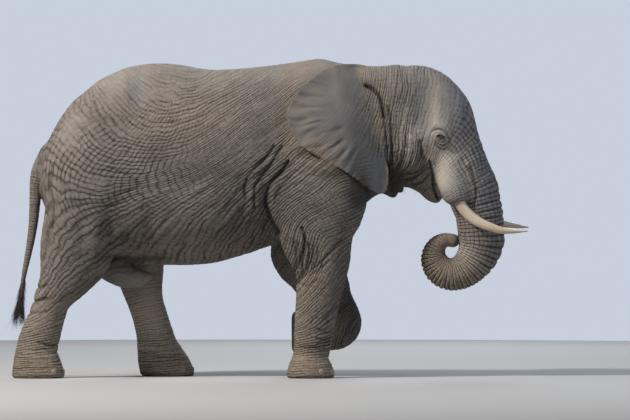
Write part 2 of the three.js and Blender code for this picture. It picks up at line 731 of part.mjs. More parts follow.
// The origin is on the floor below the middle of the whole animal.
const middle = new THREE.Box3().setFromObject(elephant).getCenter(new THREE.Vector3());
elephant.position.set(-middle.x, -middle.y, 0);

export default elephant;
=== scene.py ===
"""African bush elephant bull, life size, walking with one forefoot lifted and its trunk curled.

The flesh is one soft solid, told as a function of place that is below 0 inside: a long barrel, limbs
and face as tapering tubes along bent paths, rounded masses, and ears as thin sheets, all run together
with soft unions. One skin is drawn round it, folded along lines that follow the body, and finished
with its tusks, eyes, nails and hair. Lengths are metres. Angles are degrees in the tables of how
folds run and of the ear's valleys, and radians elsewhere. "Own place" is the animal's own
coordinates: x forward, y to its left, z up, y = 0 its middle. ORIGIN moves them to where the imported
model stands.
"""

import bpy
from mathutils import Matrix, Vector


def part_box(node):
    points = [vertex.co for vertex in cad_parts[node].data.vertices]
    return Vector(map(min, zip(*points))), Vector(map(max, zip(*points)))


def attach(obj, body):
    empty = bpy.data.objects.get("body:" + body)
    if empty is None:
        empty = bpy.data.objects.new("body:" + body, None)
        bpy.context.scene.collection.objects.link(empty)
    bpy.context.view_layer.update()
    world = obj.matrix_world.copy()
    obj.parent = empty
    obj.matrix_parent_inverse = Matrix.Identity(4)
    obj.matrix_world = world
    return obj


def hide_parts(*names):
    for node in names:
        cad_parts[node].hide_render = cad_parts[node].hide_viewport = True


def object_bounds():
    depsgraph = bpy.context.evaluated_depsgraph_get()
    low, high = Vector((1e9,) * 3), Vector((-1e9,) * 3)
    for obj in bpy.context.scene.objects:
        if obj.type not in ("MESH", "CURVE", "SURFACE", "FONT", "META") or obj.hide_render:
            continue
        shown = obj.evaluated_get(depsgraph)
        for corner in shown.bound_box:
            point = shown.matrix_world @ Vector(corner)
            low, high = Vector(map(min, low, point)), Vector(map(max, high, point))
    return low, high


bl_info = {
    "name": "Bush Elephant",
    "version": (1, 0, 0),
    "blender": (4, 5, 0),
    "location": "View3D > Sidebar > Elephant",
    "description": "Builds a life-size bush elephant over its packed solids",
    "category": "Add Mesh",
}

import math

import bmesh
import bpy
import numpy as np
from bpy.props import FloatProperty, FloatVectorProperty, IntProperty, PointerProperty
from mathutils import Vector

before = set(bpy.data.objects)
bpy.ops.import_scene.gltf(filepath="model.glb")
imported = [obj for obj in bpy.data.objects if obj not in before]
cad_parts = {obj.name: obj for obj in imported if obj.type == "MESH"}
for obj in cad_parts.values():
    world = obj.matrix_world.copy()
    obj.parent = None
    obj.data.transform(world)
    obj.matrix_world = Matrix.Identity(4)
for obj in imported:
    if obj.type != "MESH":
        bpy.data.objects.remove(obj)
CAD_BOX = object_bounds()

BODY = "root"
RIGHT, LEFT = -1, 1
SIDES = {"right": RIGHT, "left": LEFT}
FEET = ("front_right", "front_left", "hind_right", "hind_left")
FAR = 9.0  # a distance that no soft union feels


def box(node):
    """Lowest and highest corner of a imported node, as arrays."""
    return tuple(np.array(corner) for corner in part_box(node))


def centre(node):
    """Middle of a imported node's box."""
    return np.mean(box(node), axis=0)


# Where the animal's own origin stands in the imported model.
EYE_X = 1.702
ORIGIN = np.array([
    centre("eye_right")[0] - EYE_X,
    (centre("eye_right")[1] + centre("eye_left")[1]) / 2,
    0.0,
])

# ------------------------------------------------------------------ the shape of the flesh
# Barrel and neck: x, top, bottom, half width, height of the widest point, roundness above, below.
BARREL = [
    (-2.3, 2.54, 1.4, 0.41, 2.0, 2.0, 2.1), (-1.9, 2.815, 1.33, 0.5, 1.98, 1.95, 2.1),
    (-1.7, 2.972, 1.23, 0.54, 1.96, 1.9, 2.1), (-1.35, 3.112, 1.14, 0.585, 1.88, 1.8, 2.1),
    (-1.0, 3.134, 1.118, 0.608, 1.82, 1.75, 2.1), (-0.6, 3.076, 1.133, 0.614, 1.8, 1.75, 2.1),
    (-0.3, 3.086, 1.208, 0.592, 1.82, 1.75, 2.1), (0.0, 3.114, 1.308, 0.545, 1.9, 1.75, 2.1),
    (0.3, 3.156, 1.4, 0.482, 2.02, 1.75, 2.1), (0.5, 3.182, 1.48, 0.435, 2.12, 1.75, 2.1),
    (0.7, 3.14, 1.57, 0.402, 2.26, 1.85, 2.1), (0.9, 3.116, 1.69, 0.37, 2.36, 1.9, 2.0),
    (1.1, 3.11, 1.83, 0.335, 2.46, 1.95, 2.0), (1.25, 3.106, 1.795, 0.322, 2.48, 1.97, 2.0),
    (1.35, 3.1, 1.95, 0.31, 2.5, 2.0, 2.0),
]
BARREL_ENDS = {"rear": -1.9, "rear_cap": 0.4, "front": 1.25, "front_cap": 0.23}

# Tubes: x, y, z of the middle line, half thickness seen from the side, half width sideways.
HINDLEG_RIGHT = [
    (-1.72, -0.3, 2.3, 0.4, 0.2), (-1.79, -0.35, 1.95, 0.45, 0.24), (-1.82, -0.375, 1.65, 0.42, 0.25),
    (-1.9, -0.375, 1.33, 0.385, 0.24), (-2.01, -0.365, 1.05, 0.275, 0.215),
    (-2.105, -0.355, 0.89, 0.212, 0.198), (-2.17, -0.35, 0.77, 0.186, 0.186),
    (-2.205, -0.345, 0.66, 0.18, 0.178), (-2.252, -0.34, 0.52, 0.19, 0.174),
    (-2.3, -0.335, 0.37, 0.205, 0.174), (-2.325, -0.335, 0.25, 0.21, 0.182),
    (-2.318, -0.335, 0.12, 0.242, 0.208), (-2.306, -0.335, 0.01, 0.265, 0.228),
    (-2.306, -0.335, -0.09, 0.268, 0.23),
]
HINDLEG_LEFT = [
    (-1.7, 0.3, 2.3, 0.4, 0.2), (-1.62, 0.35, 1.95, 0.44, 0.24), (-1.52, 0.375, 1.65, 0.42, 0.25),
    (-1.4, 0.375, 1.33, 0.335, 0.235), (-1.32, 0.36, 1.07, 0.25, 0.212),
    (-1.29, 0.35, 0.9, 0.207, 0.195), (-1.252, 0.345, 0.74, 0.18, 0.182),
    (-1.205, 0.342, 0.59, 0.178, 0.176), (-1.16, 0.34, 0.42, 0.187, 0.176),
    (-1.125, 0.338, 0.265, 0.212, 0.184), (-1.082, 0.336, 0.14, 0.245, 0.208),
    (-1.03, 0.335, 0.01, 0.268, 0.228), (-1.025, 0.335, -0.09, 0.27, 0.23),
]
FORELEG_RIGHT = [
    (0.6, -0.3, 2.45, 0.33, 0.15), (0.56, -0.34, 2.15, 0.42, 0.19), (0.49, -0.375, 1.8, 0.48, 0.225),
    (0.468, -0.378, 1.58, 0.4, 0.228), (0.465, -0.375, 1.4, 0.358, 0.225),
    (0.505, -0.365, 1.22, 0.302, 0.215), (0.515, -0.36, 1.045, 0.255, 0.205),
    (0.495, -0.355, 0.89, 0.233, 0.196), (0.475, -0.35, 0.74, 0.22, 0.19),
    (0.453, -0.345, 0.585, 0.206, 0.184), (0.437, -0.342, 0.432, 0.198, 0.178),
    (0.418, -0.34, 0.28, 0.183, 0.174), (0.398, -0.34, 0.2, 0.175, 0.178),
    (0.4, -0.34, 0.12, 0.2, 0.205), (0.405, -0.34, 0.02, 0.24, 0.232),
    (0.405, -0.34, -0.08, 0.245, 0.235),
]
FORELEG_LEFT = [
    (0.58, 0.3, 2.45, 0.33, 0.15), (0.56, 0.34, 2.15, 0.42, 0.19), (0.5, 0.375, 1.8, 0.45, 0.225),
    (0.43, 0.38, 1.45, 0.38, 0.225), (0.32, 0.375, 1.24, 0.318, 0.215),
    (0.425, 0.365, 1.08, 0.286, 0.205), (0.52, 0.358, 0.93, 0.268, 0.198),
    (0.59, 0.35, 0.76, 0.235, 0.192), (0.68, 0.345, 0.59, 0.225, 0.185),
    (0.705, 0.342, 0.52, 0.212, 0.178), (0.67, 0.34, 0.465, 0.2, 0.176), (0.6, 0.34, 0.45, 0.195, 0.178),
    (0.52, 0.34, 0.448, 0.195, 0.182), (0.4, 0.34, 0.442, 0.2, 0.195), (0.29, 0.34, 0.438, 0.215, 0.212),
]
LIFTED_SOLE = {"x": 0.212, "top": 0.72, "edge": 0.05}  # flat sole, its height limit, its round edge
FACE = [
    (1.67, 0.0, 2.515, 0.37, 0.29), (1.767, 0.0, 2.314, 0.34, 0.255), (1.92, 0.0, 2.035, 0.292, 0.215),
    (2.018, 0.0, 1.88, 0.268, 0.195), (2.062, 0.0, 1.735, 0.248, 0.18), (2.095, 0.0, 1.63, 0.238, 0.172),
    (2.115, 0.0, 1.4, 0.232, 0.16),
]
TRUNK = [
    (2.095, 0.0, 1.6, 0.236, 0.168), (2.11, 0.0, 1.48, 0.236, 0.164), (2.12, 0.0, 1.39, 0.23, 0.158),
    (2.105, 0.0, 1.29, 0.217, 0.15), (2.055, 0.0, 1.18, 0.198, 0.14), (1.945, 0.0, 1.065, 0.175, 0.13),
    (1.81, 0.0, 1.025, 0.163, 0.12), (1.695, 0.0, 1.075, 0.152, 0.11), (1.635, 0.0, 1.19, 0.128, 0.098),
    (1.662, 0.0, 1.305, 0.098, 0.086), (1.742, 0.0, 1.37, 0.072, 0.078),
    (1.828, 0.0, 1.364, 0.068, 0.068),
]
JAW = [
    (1.33, 0.0, 2.25, 0.33, 0.235), (1.45, 0.0, 2.09, 0.2, 0.2), (1.545, 0.0, 1.945, 0.118, 0.14),
    (1.618, 0.0, 1.845, 0.09, 0.095), (1.655, 0.0, 1.795, 0.058, 0.065),
]
TUSK_SHEATH = [
    (1.79, 0.15, 2.13, 0.13, 0.125), (1.815, 0.165, 1.93, 0.13, 0.115),
    (1.838, 0.176, 1.838, 0.118, 0.098),
]
TAIL = [
    (-2.2, 0.0, 2.23, 0.11, 0.09), (-2.29, 0.0, 2.09, 0.088, 0.076), (-2.332, 0.0, 1.96, 0.072, 0.068),
    (-2.347, 0.0, 1.81, 0.06, 0.058), (-2.352, 0.0, 1.73, 0.056, 0.054),
    (-2.364, 0.0, 1.57, 0.05, 0.047), (-2.388, 0.0, 1.39, 0.042, 0.04), (-2.424, 0.0, 1.2, 0.034, 0.033),
    (-2.464, 0.0, 1.0, 0.026, 0.026), (-2.49, 0.0, 0.805, 0.022, 0.023), (-2.5, 0.0, 0.73, 0.02, 0.016),
]
GROIN_SHEATH = [
    (-1.76, 0.0, 1.24, 0.12, 0.08), (-1.6, 0.0, 1.09, 0.135, 0.092), (-1.45, 0.0, 1.01, 0.124, 0.09),
    (-1.33, 0.0, 0.985, 0.092, 0.074), (-1.24, 0.0, 1.0, 0.056, 0.05), (-1.205, 0.0, 1.014, 0.03, 0.03),
]
TUSK = [
    (1.845, 0.168, 1.875, 0.06, 0.06), (1.868, 0.174, 1.8, 0.058, 0.058),
    (1.905, 0.184, 1.722, 0.055, 0.055), (1.96, 0.198, 1.648, 0.054, 0.054),
    (2.035, 0.215, 1.582, 0.053, 0.053), (2.11, 0.232, 1.538, 0.048, 0.048),
    (2.19, 0.246, 1.506, 0.043, 0.043), (2.306, 0.256, 1.47, 0.034, 0.034),
    (2.4, 0.252, 1.46, 0.024, 0.024), (2.49, 0.24, 1.458, 0.013, 0.013),
    (2.575, 0.224, 1.463, 0.003, 0.003),
]
TUSK_LEFT = TUSK[:5] + [  # the left one runs higher towards its end
    (2.11, 0.232, 1.552, 0.049, 0.049), (2.19, 0.246, 1.54, 0.045, 0.045),
    (2.306, 0.256, 1.53, 0.037, 0.037), (2.4, 0.252, 1.518, 0.03, 0.03),
    (2.5, 0.24, 1.502, 0.019, 0.019), (2.595, 0.222, 1.494, 0.004, 0.004),
]

# Rounded masses and hollows: middle x, y, z, then half sizes.
SKULL = (1.450, 0.0, 2.525, 0.556, 0.355, 0.594)
CHEEK = (1.430, 0.0, 2.300, 0.270, 0.285, 0.375)
TEMPLE = (1.640, 0.420, 2.680, 0.210, 0.130, 0.230)

# Ear outline in the x-z plane, from the top of the neck round the back and up the front edge.
EAR_OUTLINE = [
    (0.9, 3.105), (0.75, 3.128), (0.6, 3.108), (0.43, 3.0), (0.285, 2.86), (0.165, 2.65), (0.208, 2.47),
    (0.336, 2.29), (0.54, 2.168), (0.76, 2.045), (0.97, 1.89), (1.1, 1.832), (1.172, 1.885),
    (1.182, 2.07), (1.16, 2.29), (1.105, 2.53), (1.075, 2.72), (1.04, 2.9), (0.99, 3.04),
]
EAR_THICK, EAR_RIM = 0.026, 0.016  # thickness inside and at the rim
# The ear leaves the head along the line from low to high (x, z), sunk a little under the skin. Below
# it the lobe stands out further, and in front of it the sheet leans out.
EAR_ROOT = {"low": (1.165, 2.250), "high": (1.035, 2.960), "top": 3.085, "sunk": 0.014}
EAR_LOBE = {"out": 0.055, "over": 0.35, "front": 0.2}
# The left ear swings out by an angle, and its lobe moves forwards below a height. The right one hangs
# at "near" + "more" times the root of the drop from its top, tucked in and wavy towards its end.
LEFT_EAR = {"swing": 0.52, "forward": 0.2, "under": 2.76}
RIGHT_EAR = {
    "top": 3.16, "tall": 1.15, "near": 0.19, "more": 0.43, "tuck": 0.09, "tuck_from": 0.75,
    "tuck_over": 0.4, "over": 0.4, "wave": 0.014, "wave_long": 0.07, "wave_tall": 0.095,
    "wave_below": 2.35, "wave_over": 0.3,
}


# ------------------------------------------------------------------ curves and noise
def mix(a, b, t):
    """a + (b - a) t."""
    return a + (b - a) * t


def smooth(t):
    """The S-curve t squared (3 - 2t), with t held between 0 and 1."""
    t = np.clip(t, 0, 1)
    return t * t * (3 - 2 * t)


def bell(*parts):
    """exp(-(sum of the parts' squares))."""
    return np.exp(-sum(part * part for part in parts))


def blunt_bell(t):
    """exp(-t to the power 4), flatter in the middle and steeper at the sides."""
    return np.exp(-(t**4))


def crest(phase):
    """1 - |sin(pi phase)|: 1 where the phase is whole."""
    return 1 - np.abs(np.sin(np.pi * phase))


def unit(vectors):
    """The vectors along the last axis, each made one long."""
    return vectors / np.maximum(np.linalg.norm(vectors, axis=-1, keepdims=True), 1e-12)


def turns(count):
    """Angles spread evenly over one turn."""
    return np.arange(count) * 2 * math.pi / count


def ring_of(turn, across, up):
    """cos(turn) across + sin(turn) up, for vectors along the last axis."""
    return np.cos(turn)[..., None] * across + np.sin(turn)[..., None] * up


def to_stretch(x, z, a, b):
    """Distance in the side view to the straight stretch from a to b."""
    dx, dz = b - a
    t = np.clip(((x - a[0]) * dx + (z - a[1]) * dz) / (dx * dx + dz * dz), 0, 1)
    return np.hypot(x - a[0] - t * dx, z - a[1] - t * dz)


def mirrored(rows):
    """The same rows on the other side of the animal."""
    return [(x, -y, z, *rest) for x, y, z, *rest in rows]


def sampled(rows, steps, closed=False):
    """Catmull-Rom curve through the rows, `steps` samples to each interval: between b and c, with
    a before and d after, it is b + t/2 (c - a + t (2a - 5b + 4c - d + t (3(b - c) + d - a)))."""
    rows = np.asarray(rows, float)
    if closed:
        a, b, c, d = (np.roll(rows, -shift, 0) for shift in (-1, 0, 1, 2))
    else:
        held = np.vstack([rows[:1], rows, rows[-1:]])
        a, b, c, d = held[:-3], held[1:-2], held[2:-1], held[3:]
    a, b, c, d = (part[:, None] for part in (a, b, c, d))
    t = (np.arange(steps) / steps)[None, :, None]
    curve = b + t / 2 * (c - a + t * (2 * a - 5 * b + 4 * c - d + t * (3 * (b - c) + d - a)))
    curve = curve.reshape(-1, rows.shape[1])
    return curve if closed else np.vstack([curve, rows[-1:]])


def along_x(rows, x):
    """Cubic Hermite through rows whose first column rises, with slopes taken across each row's
    neighbours, read at every x. Returns one array for each further column."""
    rows = np.asarray(rows, float)
    wide = np.vstack([rows[:1], rows, rows[-1:]])
    slope = (wide[2:] - wide[:-2]) / (wide[2:, :1] - wide[:-2, :1])
    i = np.clip(np.searchsorted(rows[:, 0], x) - 1, 0, len(rows) - 2)
    width = rows[i + 1, 0] - rows[i, 0]
    t = np.clip((x - rows[i, 0]) / width, 0, 1)
    t2, t3 = t * t, t * t * t
    return [
        rows[i, c] * (2 * t3 - 3 * t2 + 1) + rows[i + 1, c] * (3 * t2 - 2 * t3)
        + width * (slope[i, c] * (t3 - 2 * t2 + t) + slope[i + 1, c] * (t3 - t2))
        for c in range(1, rows.shape[1])
    ]


def noise(p, seed=0):
    """Smooth noise from about -0.7 to 0.7: each whole-number point has a random slope, and the
    slopes' heights are blended with the curve 6t^5 - 15t^4 + 10t^3 along each axis."""
    base = np.floor(p)
    f = p - base
    base = base.astype(np.int64)
    w = f * f * f * (f * (f * 6 - 15) + 10)
    total = np.zeros(len(p))
    for corner in np.ndindex(2, 2, 2):
        at = base + corner
        h = at[:, 0] * 73856093 ^ at[:, 1] * 19349663 ^ at[:, 2] * 83492791 ^ (seed + 1) * 2654435761
        h = (h ^ (h >> 13)) * 1274126177 & 0x7FFFFFFF
        h ^= h >> 16
        slope = np.stack([(h & 255), (h >> 8 & 255), (h >> 16 & 255)], 1) / 127.5 - 1
        share = np.prod(np.where(corner, w, 1 - w), axis=1)
        total += share * ((f - corner) * slope).sum(1)
    return total


def patches(p, rows):
    """Sum of soft round patches seen from the side: x, z, half width, half height and strength,
    each falling off as exp(-r squared)."""
    total = np.zeros(len(p))
    for x, z, wide, tall, strength in rows:
        total += strength * bell((p[:, 0] - x) / wide, (p[:, 2] - z) / tall)
    return total


# ------------------------------------------------------------------ soft solids
def soften(a, b, k):
    """Union with a soft inner corner of about radius k: the lower of a and b, less h squared k / 4,
    where h falls from 1 to 0 as they part by k."""
    h = np.maximum(k - np.abs(a - b), 0) / k
    return np.minimum(a, b) - h * h * k / 4


def round_distance(u, v, a, b, n=2.0):
    """About the distance to the oval |u/a|^n + |v/b|^n = 1: (g - 1) over the slope of g, where g
    is the n-th root of that sum."""
    p, q = np.abs(u) / a, np.abs(v) / b
    if np.isscalar(n):
        g = np.maximum(np.hypot(p, q), 1e-6)
        return (g - 1) * g / np.maximum(np.hypot(p / a, q / b), 1e-9)
    g = np.maximum((p**n + q**n) ** (1 / n), 1e-6)
    slope = g ** (1 - n) * np.hypot(p ** (n - 1) / a, q ** (n - 1) / b)
    return np.where(g < 1e-5, -np.minimum(a, b), (g - 1) / np.maximum(slope, 1e-9))


def barrel(p):
    """The trunk of the body and the neck: ovals whose top, bottom, width and roundness follow
    BARREL along x, shrinking to nothing over a quarter circle at either end."""
    top, bottom, wide, middle, above, below = along_x(BARREL, p[:, 0])
    ends = BARREL_ENDS
    cap = np.where(
        p[:, 0] < ends["rear"],
        (ends["rear"] - p[:, 0]) / ends["rear_cap"],
        np.maximum(0, (p[:, 0] - ends["front"]) / ends["front_cap"]),
    )
    shrink = np.sqrt(np.maximum(1 - cap * cap, 1e-4))
    upper = p[:, 2] > middle
    half = np.where(upper, top - middle, middle - bottom) * shrink
    d = round_distance(p[:, 2] - middle, p[:, 1], half, wide * shrink, np.where(upper, above, below))
    past = np.maximum(cap - 1, 0) * np.where(p[:, 0] < 0, ends["rear_cap"], ends["front_cap"])
    return np.where(past > 0, np.hypot(np.maximum(d, 0), past), d)


class Tube:
    """A bent, tapering tube: near each straight stretch of its path it is an oval across it."""

    REACH = 0.2  # past this it feels nothing
    BLEND = 0.016  # how gently one stretch gives way to the next

    def __init__(self, rows, steps=3):
        self.path = sampled(rows, steps)
        spread = self.path[:, 3:].max() + self.REACH
        self.low = self.path[:, :3].min(0) - spread
        self.high = self.path[:, :3].max(0) + spread
        steps_long = np.hypot(np.diff(self.path[:, 0]), np.diff(self.path[:, 2]))
        self.along = np.concatenate([[0], np.cumsum(steps_long)])

    def near(self, p):
        return ((p > self.low) & (p < self.high)).all(1)

    def stretches(self, p):
        """Distance to each stretch, with how far along and across it each place is."""
        for i, (a, b) in enumerate(zip(self.path[:-1], self.path[1:])):
            dx, dz = b[0] - a[0], b[2] - a[2]
            long = math.hypot(dx, dz)
            x, z = p[:, 0] - a[0], p[:, 2] - a[2]
            t = np.clip((x * dx + z * dz) / long**2, 0, 1)
            aside = np.hypot(x - t * dx, z - t * dz)
            d = round_distance(
                aside, p[:, 1] - mix(a[1], b[1], t), mix(a[3], b[3], t), mix(a[4], b[4], t)
            )
            yield d, self.along[i] + t * long, (x * dz - z * dx) / long

    def __call__(self, p):
        best = np.full(len(p), FAR)
        for d, _, _ in self.stretches(p):
            np.minimum(best, d, out=best)
        return best

    def followed(self, p):
        """Distance to the nearest stretch, with the place along the path and across it. These two
        blend from stretch to stretch, by exp(-distance / BLEND)."""
        gap, along, across = (np.array(rows) for rows in zip(*self.stretches(p)))
        best = gap.min(0)
        share = np.exp((best - gap) / self.BLEND)
        share /= share.sum(0)
        return best, (share * along).sum(0), (share * across).sum(0)


class Mass:
    """A rounded mass with half sizes along the axes."""

    def __init__(self, row, reach=0.2):
        self.middle, self.half = np.array(row[:3]), np.array(row[3:])
        self.reach = reach

    def near(self, p):
        return (np.abs(p - self.middle) < self.half + self.reach).all(1)

    def __call__(self, p):
        """g (g - 1) over the length of u / half sizes, where u is the place in half sizes and g
        its length."""
        u = (p - self.middle) / self.half
        g = np.maximum(np.linalg.norm(u, axis=1), 1e-6)
        return g * (g - 1) / np.linalg.norm(u / self.half, axis=1)


class LiftedForeleg(Tube):
    """The lifted foreleg, cut flat across its sole with a softened edge."""

    def __call__(self, p):
        behind = np.maximum(p[:, 0] - LIFTED_SOLE["x"], p[:, 2] - LIFTED_SOLE["top"])
        return -soften(-super().__call__(p), behind, LIFTED_SOLE["edge"])


class Ear:
    """A thin sheet that starts on the side of the head and hangs beside the neck (right) or swings
    out from it (left). Distances are taken across y, scaled by the slope of the sheet."""

    STEP = 0.004  # for the slope of the sheet
    CLOSE = 0.15  # its outline is only looked at this near the sheet
    TAPER = 0.35  # over which it thins towards its rim

    def __init__(self, side):
        self.side = side
        self.outline = sampled(EAR_OUTLINE, 4, closed=True)
        low_z = EAR_ROOT["low"][1]
        self.heights = np.linspace(low_z, EAR_ROOT["top"], 28)
        rows_x = self.root_x(self.heights)
        start = np.stack([rows_x, 0 * rows_x, self.heights], 1)
        self.on_head = ray_out(start, (0, 1, 0))[:, 1] - EAR_ROOT["sunk"]
        reach = 0.1
        self.low = self.outline.min(0) - reach
        self.high = self.outline.max(0) + (reach + LEFT_EAR["forward"], reach)

    def near(self, p):
        flat = p[:, [0, 2]]
        return ((flat > self.low) & (flat < self.high)).all(1) & (p[:, 1] * self.side > 0.1)

    def root_x(self, z):
        (low_x, low_z), (high_x, high_z) = EAR_ROOT["low"], EAR_ROOT["high"]
        return mix(low_x, high_x, np.clip((z - low_z) / (high_z - low_z), 0, 1))

    def pattern(self, p):
        """x and z of the flat outline that each place belongs to."""
        x, z = p[:, 0], p[:, 2]
        if self.side == RIGHT:
            return x, z
        lobe = LEFT_EAR["forward"] * np.maximum(0, LEFT_EAR["under"] - z)
        cosine, root = math.cos(LEFT_EAR["swing"]), self.root_x(z)
        flat = x - lobe
        return np.where(flat < root, (flat - root * (1 - cosine)) / cosine, flat), z

    def sheet(self, x, z):
        """Distance of the sheet from the middle of the body over the flat outline's x and z."""
        low_z = EAR_ROOT["low"][1]
        root_x = self.root_x(z)
        lobe_out = EAR_LOBE["out"] * smooth((low_z - z) / EAR_LOBE["over"])
        root = np.interp(z, self.heights, self.on_head) + lobe_out
        root = root + EAR_LOBE["front"] * np.maximum(0, x - root_x)
        behind = np.maximum(0, root_x - x)
        if self.side == LEFT:
            return root + behind * math.sin(LEFT_EAR["swing"])
        r = RIGHT_EAR
        drop = np.clip((r["top"] - z) / r["tall"], 0, 1)
        tuck = r["tuck"] * smooth((drop - r["tuck_from"]) / r["tuck_over"])
        wave = r["wave"] * np.sin(x / r["wave_long"] + z / r["wave_tall"])
        hang = smooth((r["wave_below"] - z) / r["wave_over"])
        flap = r["near"] + r["more"] * np.sqrt(drop) - tuck + wave * hang
        return mix(root, flap, smooth(behind / r["over"]))

    def within(self, x, z):
        """Distance inside the outline, below 0 outside it."""
        inside = np.zeros(len(x), bool)
        nearest = np.full(len(x), FAR)
        for a, b in zip(self.outline, np.roll(self.outline, -1, 0)):
            np.minimum(nearest, to_stretch(x, z, a, b), out=nearest)
            dx, dz = b - a
            inside ^= ((a[1] > z) != (b[1] > z)) & (x < a[0] + (z - a[1]) * dx / (dz or 1e-12))
        return np.where(inside, nearest, -nearest)

    def __call__(self, p):
        x, z = self.pattern(p)
        y = self.sheet(x, z)
        step = self.STEP
        slope_x = (self.sheet(x + step, z) - y) / step
        slope_z = (self.sheet(x, z + step) - y) / step
        tilt = 1 / np.sqrt(1 + np.minimum(slope_x**2 + slope_z**2, 4))
        across = np.abs(p[:, 1] * self.side - y) * tilt
        d = across - EAR_THICK / 2
        close = across < self.CLOSE
        inside = self.within(x[close], z[close])
        half = mix(EAR_RIM, EAR_THICK, smooth(inside / self.TAPER)) / 2
        edge = np.maximum(half - inside, 0)
        d[close] = np.where(edge > 0, np.hypot(across[close], edge), across[close]) - half
        return d


def ray_out(start, direction, reach=0.7):
    """Where rays from inside the flesh leave it, found by halving the stretch 20 times."""
    start, direction = np.atleast_2d(start).astype(float), np.asarray(direction, float)
    inside, outside = np.zeros(len(start)), np.full(len(start), reach)
    for _ in range(20):
        middle = (inside + outside) / 2
        within = flesh(start + middle[:, None] * direction, ears=False) < 0
        inside = np.where(within, middle, inside)
        outside = np.where(within, outside, middle)
    return start + inside[:, None] * direction


TRUNK_TUBE = Tube(TRUNK)
FACE_TUBE = Tube(FACE)
TAIL_TUBE = Tube(TAIL)
# Each part with the softness of its union.
PARTS = [
    (Tube(HINDLEG_RIGHT), 0.150), (Tube(HINDLEG_LEFT), 0.150), (Tube(FORELEG_RIGHT), 0.130),
    (LiftedForeleg(FORELEG_LEFT), 0.130), (Mass(SKULL), 0.120), (Mass(CHEEK), 0.120),
    (FACE_TUBE, 0.110), (Tube(JAW), 0.050), (Tube(TUSK_SHEATH), 0.060),
    (Tube(mirrored(TUSK_SHEATH)), 0.060), (TAIL_TUBE, 0.090), (Tube(GROIN_SHEATH), 0.050),
]
HOLLOWS = [(Mass(TEMPLE), 0.130), (Mass(mirrored([TEMPLE])[0]), 0.130)]
EAR_SOFT = 0.030
EAR_SOFT_TOP = {"from": 2.86, "over": 0.14, "more": 0.10}  # softer where the ear leaves the crown
EARS = []
SOLE_EDGE = 0.045  # roundness of the soles' edges


def ear_softness(z):
    """How soft the ear's union is at each height."""
    top = smooth((z - EAR_SOFT_TOP["from"]) / EAR_SOFT_TOP["over"])
    return EAR_SOFT + EAR_SOFT_TOP["more"] * top


def flesh(p, ears=True):
    """The whole animal: soft unions of its parts, less its hollows, then the ears. The curled trunk
    is a plain union, so that its tip stays clear of its own back edge."""
    d = barrel(p)

    def change(part, joined):
        near = part.near(p)
        if near.any():
            d[near] = joined(d[near], part(p[near]), p[near, 2])

    for part, k in PARTS:
        change(part, lambda a, b, z: soften(a, b, k))
    for hollow, k in HOLLOWS:
        change(hollow, lambda a, b, z: -soften(-a, b, k))
    change(TRUNK_TUBE, lambda a, b, z: np.minimum(a, b))
    for ear in EARS if ears else ():
        change(ear, lambda a, b, z: soften(a, b, ear_softness(z)))
    return -soften(-d, p[:, 2], SOLE_EDGE)


EARS.extend(Ear(side) for side in SIDES.values())


# ------------------------------------------------------------------ meshing
def in_pieces(function, p, size=1 << 16):
    """The function's values at many places, worked out a batch at a time to keep memory small."""
    if len(p) <= size:
        return function(p)
    return np.concatenate([function(p[i : i + size]) for i in range(0, len(p), size)])


def refined(coarse, low, cell, ratio, near):
    """A grid `ratio` times finer: worked out in the blocks with a corner nearer than `near` to the
    surface, and elsewhere repeated from the coarse grid, whose sign is all that is used there."""
    shape = [(n - 1) * ratio + 1 for n in coarse.shape]
    close = np.zeros(coarse.shape, bool)
    inner = close[:-1, :-1, :-1]
    for i, j, k in np.ndindex(2, 2, 2):
        nx, ny, nz = (n - 1 for n in coarse.shape)
        inner |= np.abs(coarse[i : i + nx, j : j + ny, k : k + nz]) < near
    fine, mask = coarse, close
    for axis in range(3):
        fine = np.repeat(fine, ratio, axis)
        mask = np.repeat(mask, ratio, axis)
    fine = fine[: shape[0], : shape[1], : shape[2]].copy()
    at = np.argwhere(mask[: shape[0], : shape[1], : shape[2]])
    fine[tuple(at.T)] = in_pieces(flesh, low + at * cell)
    return fine


def surface_nets(value, low, cell):
    """One corner in each cell that the surface crosses, at the mean of the crossings of its edges,
    and one four-sided face round each crossed edge."""
    inside = value < 0
    nx, ny, nz = (n - 1 for n in value.shape)
    corners = list(np.ndindex(2, 2, 2))
    count = sum(inside[i : i + nx, j : j + ny, k : k + nz].astype(np.int8) for i, j, k in corners)
    active = (count > 0) & (count < 8)
    at = np.argwhere(active)
    index = np.full(active.shape, -1, np.int32)
    index[active] = np.arange(len(at))
    total, hits = np.zeros((len(at), 3)), np.zeros(len(at))
    for corner in corners:
        for axis in range(3):
            if corner[axis]:
                continue
            step = np.eye(3, dtype=int)[axis]
            v0 = value[tuple((at + corner).T)]
            v1 = value[tuple((at + corner + step).T)]
            crossed = (v0 < 0) != (v1 < 0)
            t = v0[crossed] / (v0[crossed] - v1[crossed])
            total[crossed] += np.array(corner) + t[:, None] * step
            hits[crossed] += 1
    places = low + cell * (at + total / hits[:, None])
    faces = []
    for axis in range(3):
        u, v = np.eye(3, dtype=int)[(axis + 1) % 3], np.eye(3, dtype=int)[(axis + 2) % 3]
        first = np.moveaxis(inside, axis, 0)
        change = first[:-1] != first[1:]
        change[:, 0, :] = change[:, -1, :] = change[:, :, 0] = change[:, :, -1] = False
        edge = np.argwhere(np.moveaxis(change, 0, axis))
        ring = [index[tuple((edge + shift).T)] for shift in (-u - v, -v, 0 * u, -u)]
        quads = np.stack(ring, 1)
        outward = inside[tuple(edge.T)]
        quads[~outward] = quads[~outward][:, ::-1]
        faces.append(quads)
    return places, np.concatenate(faces)


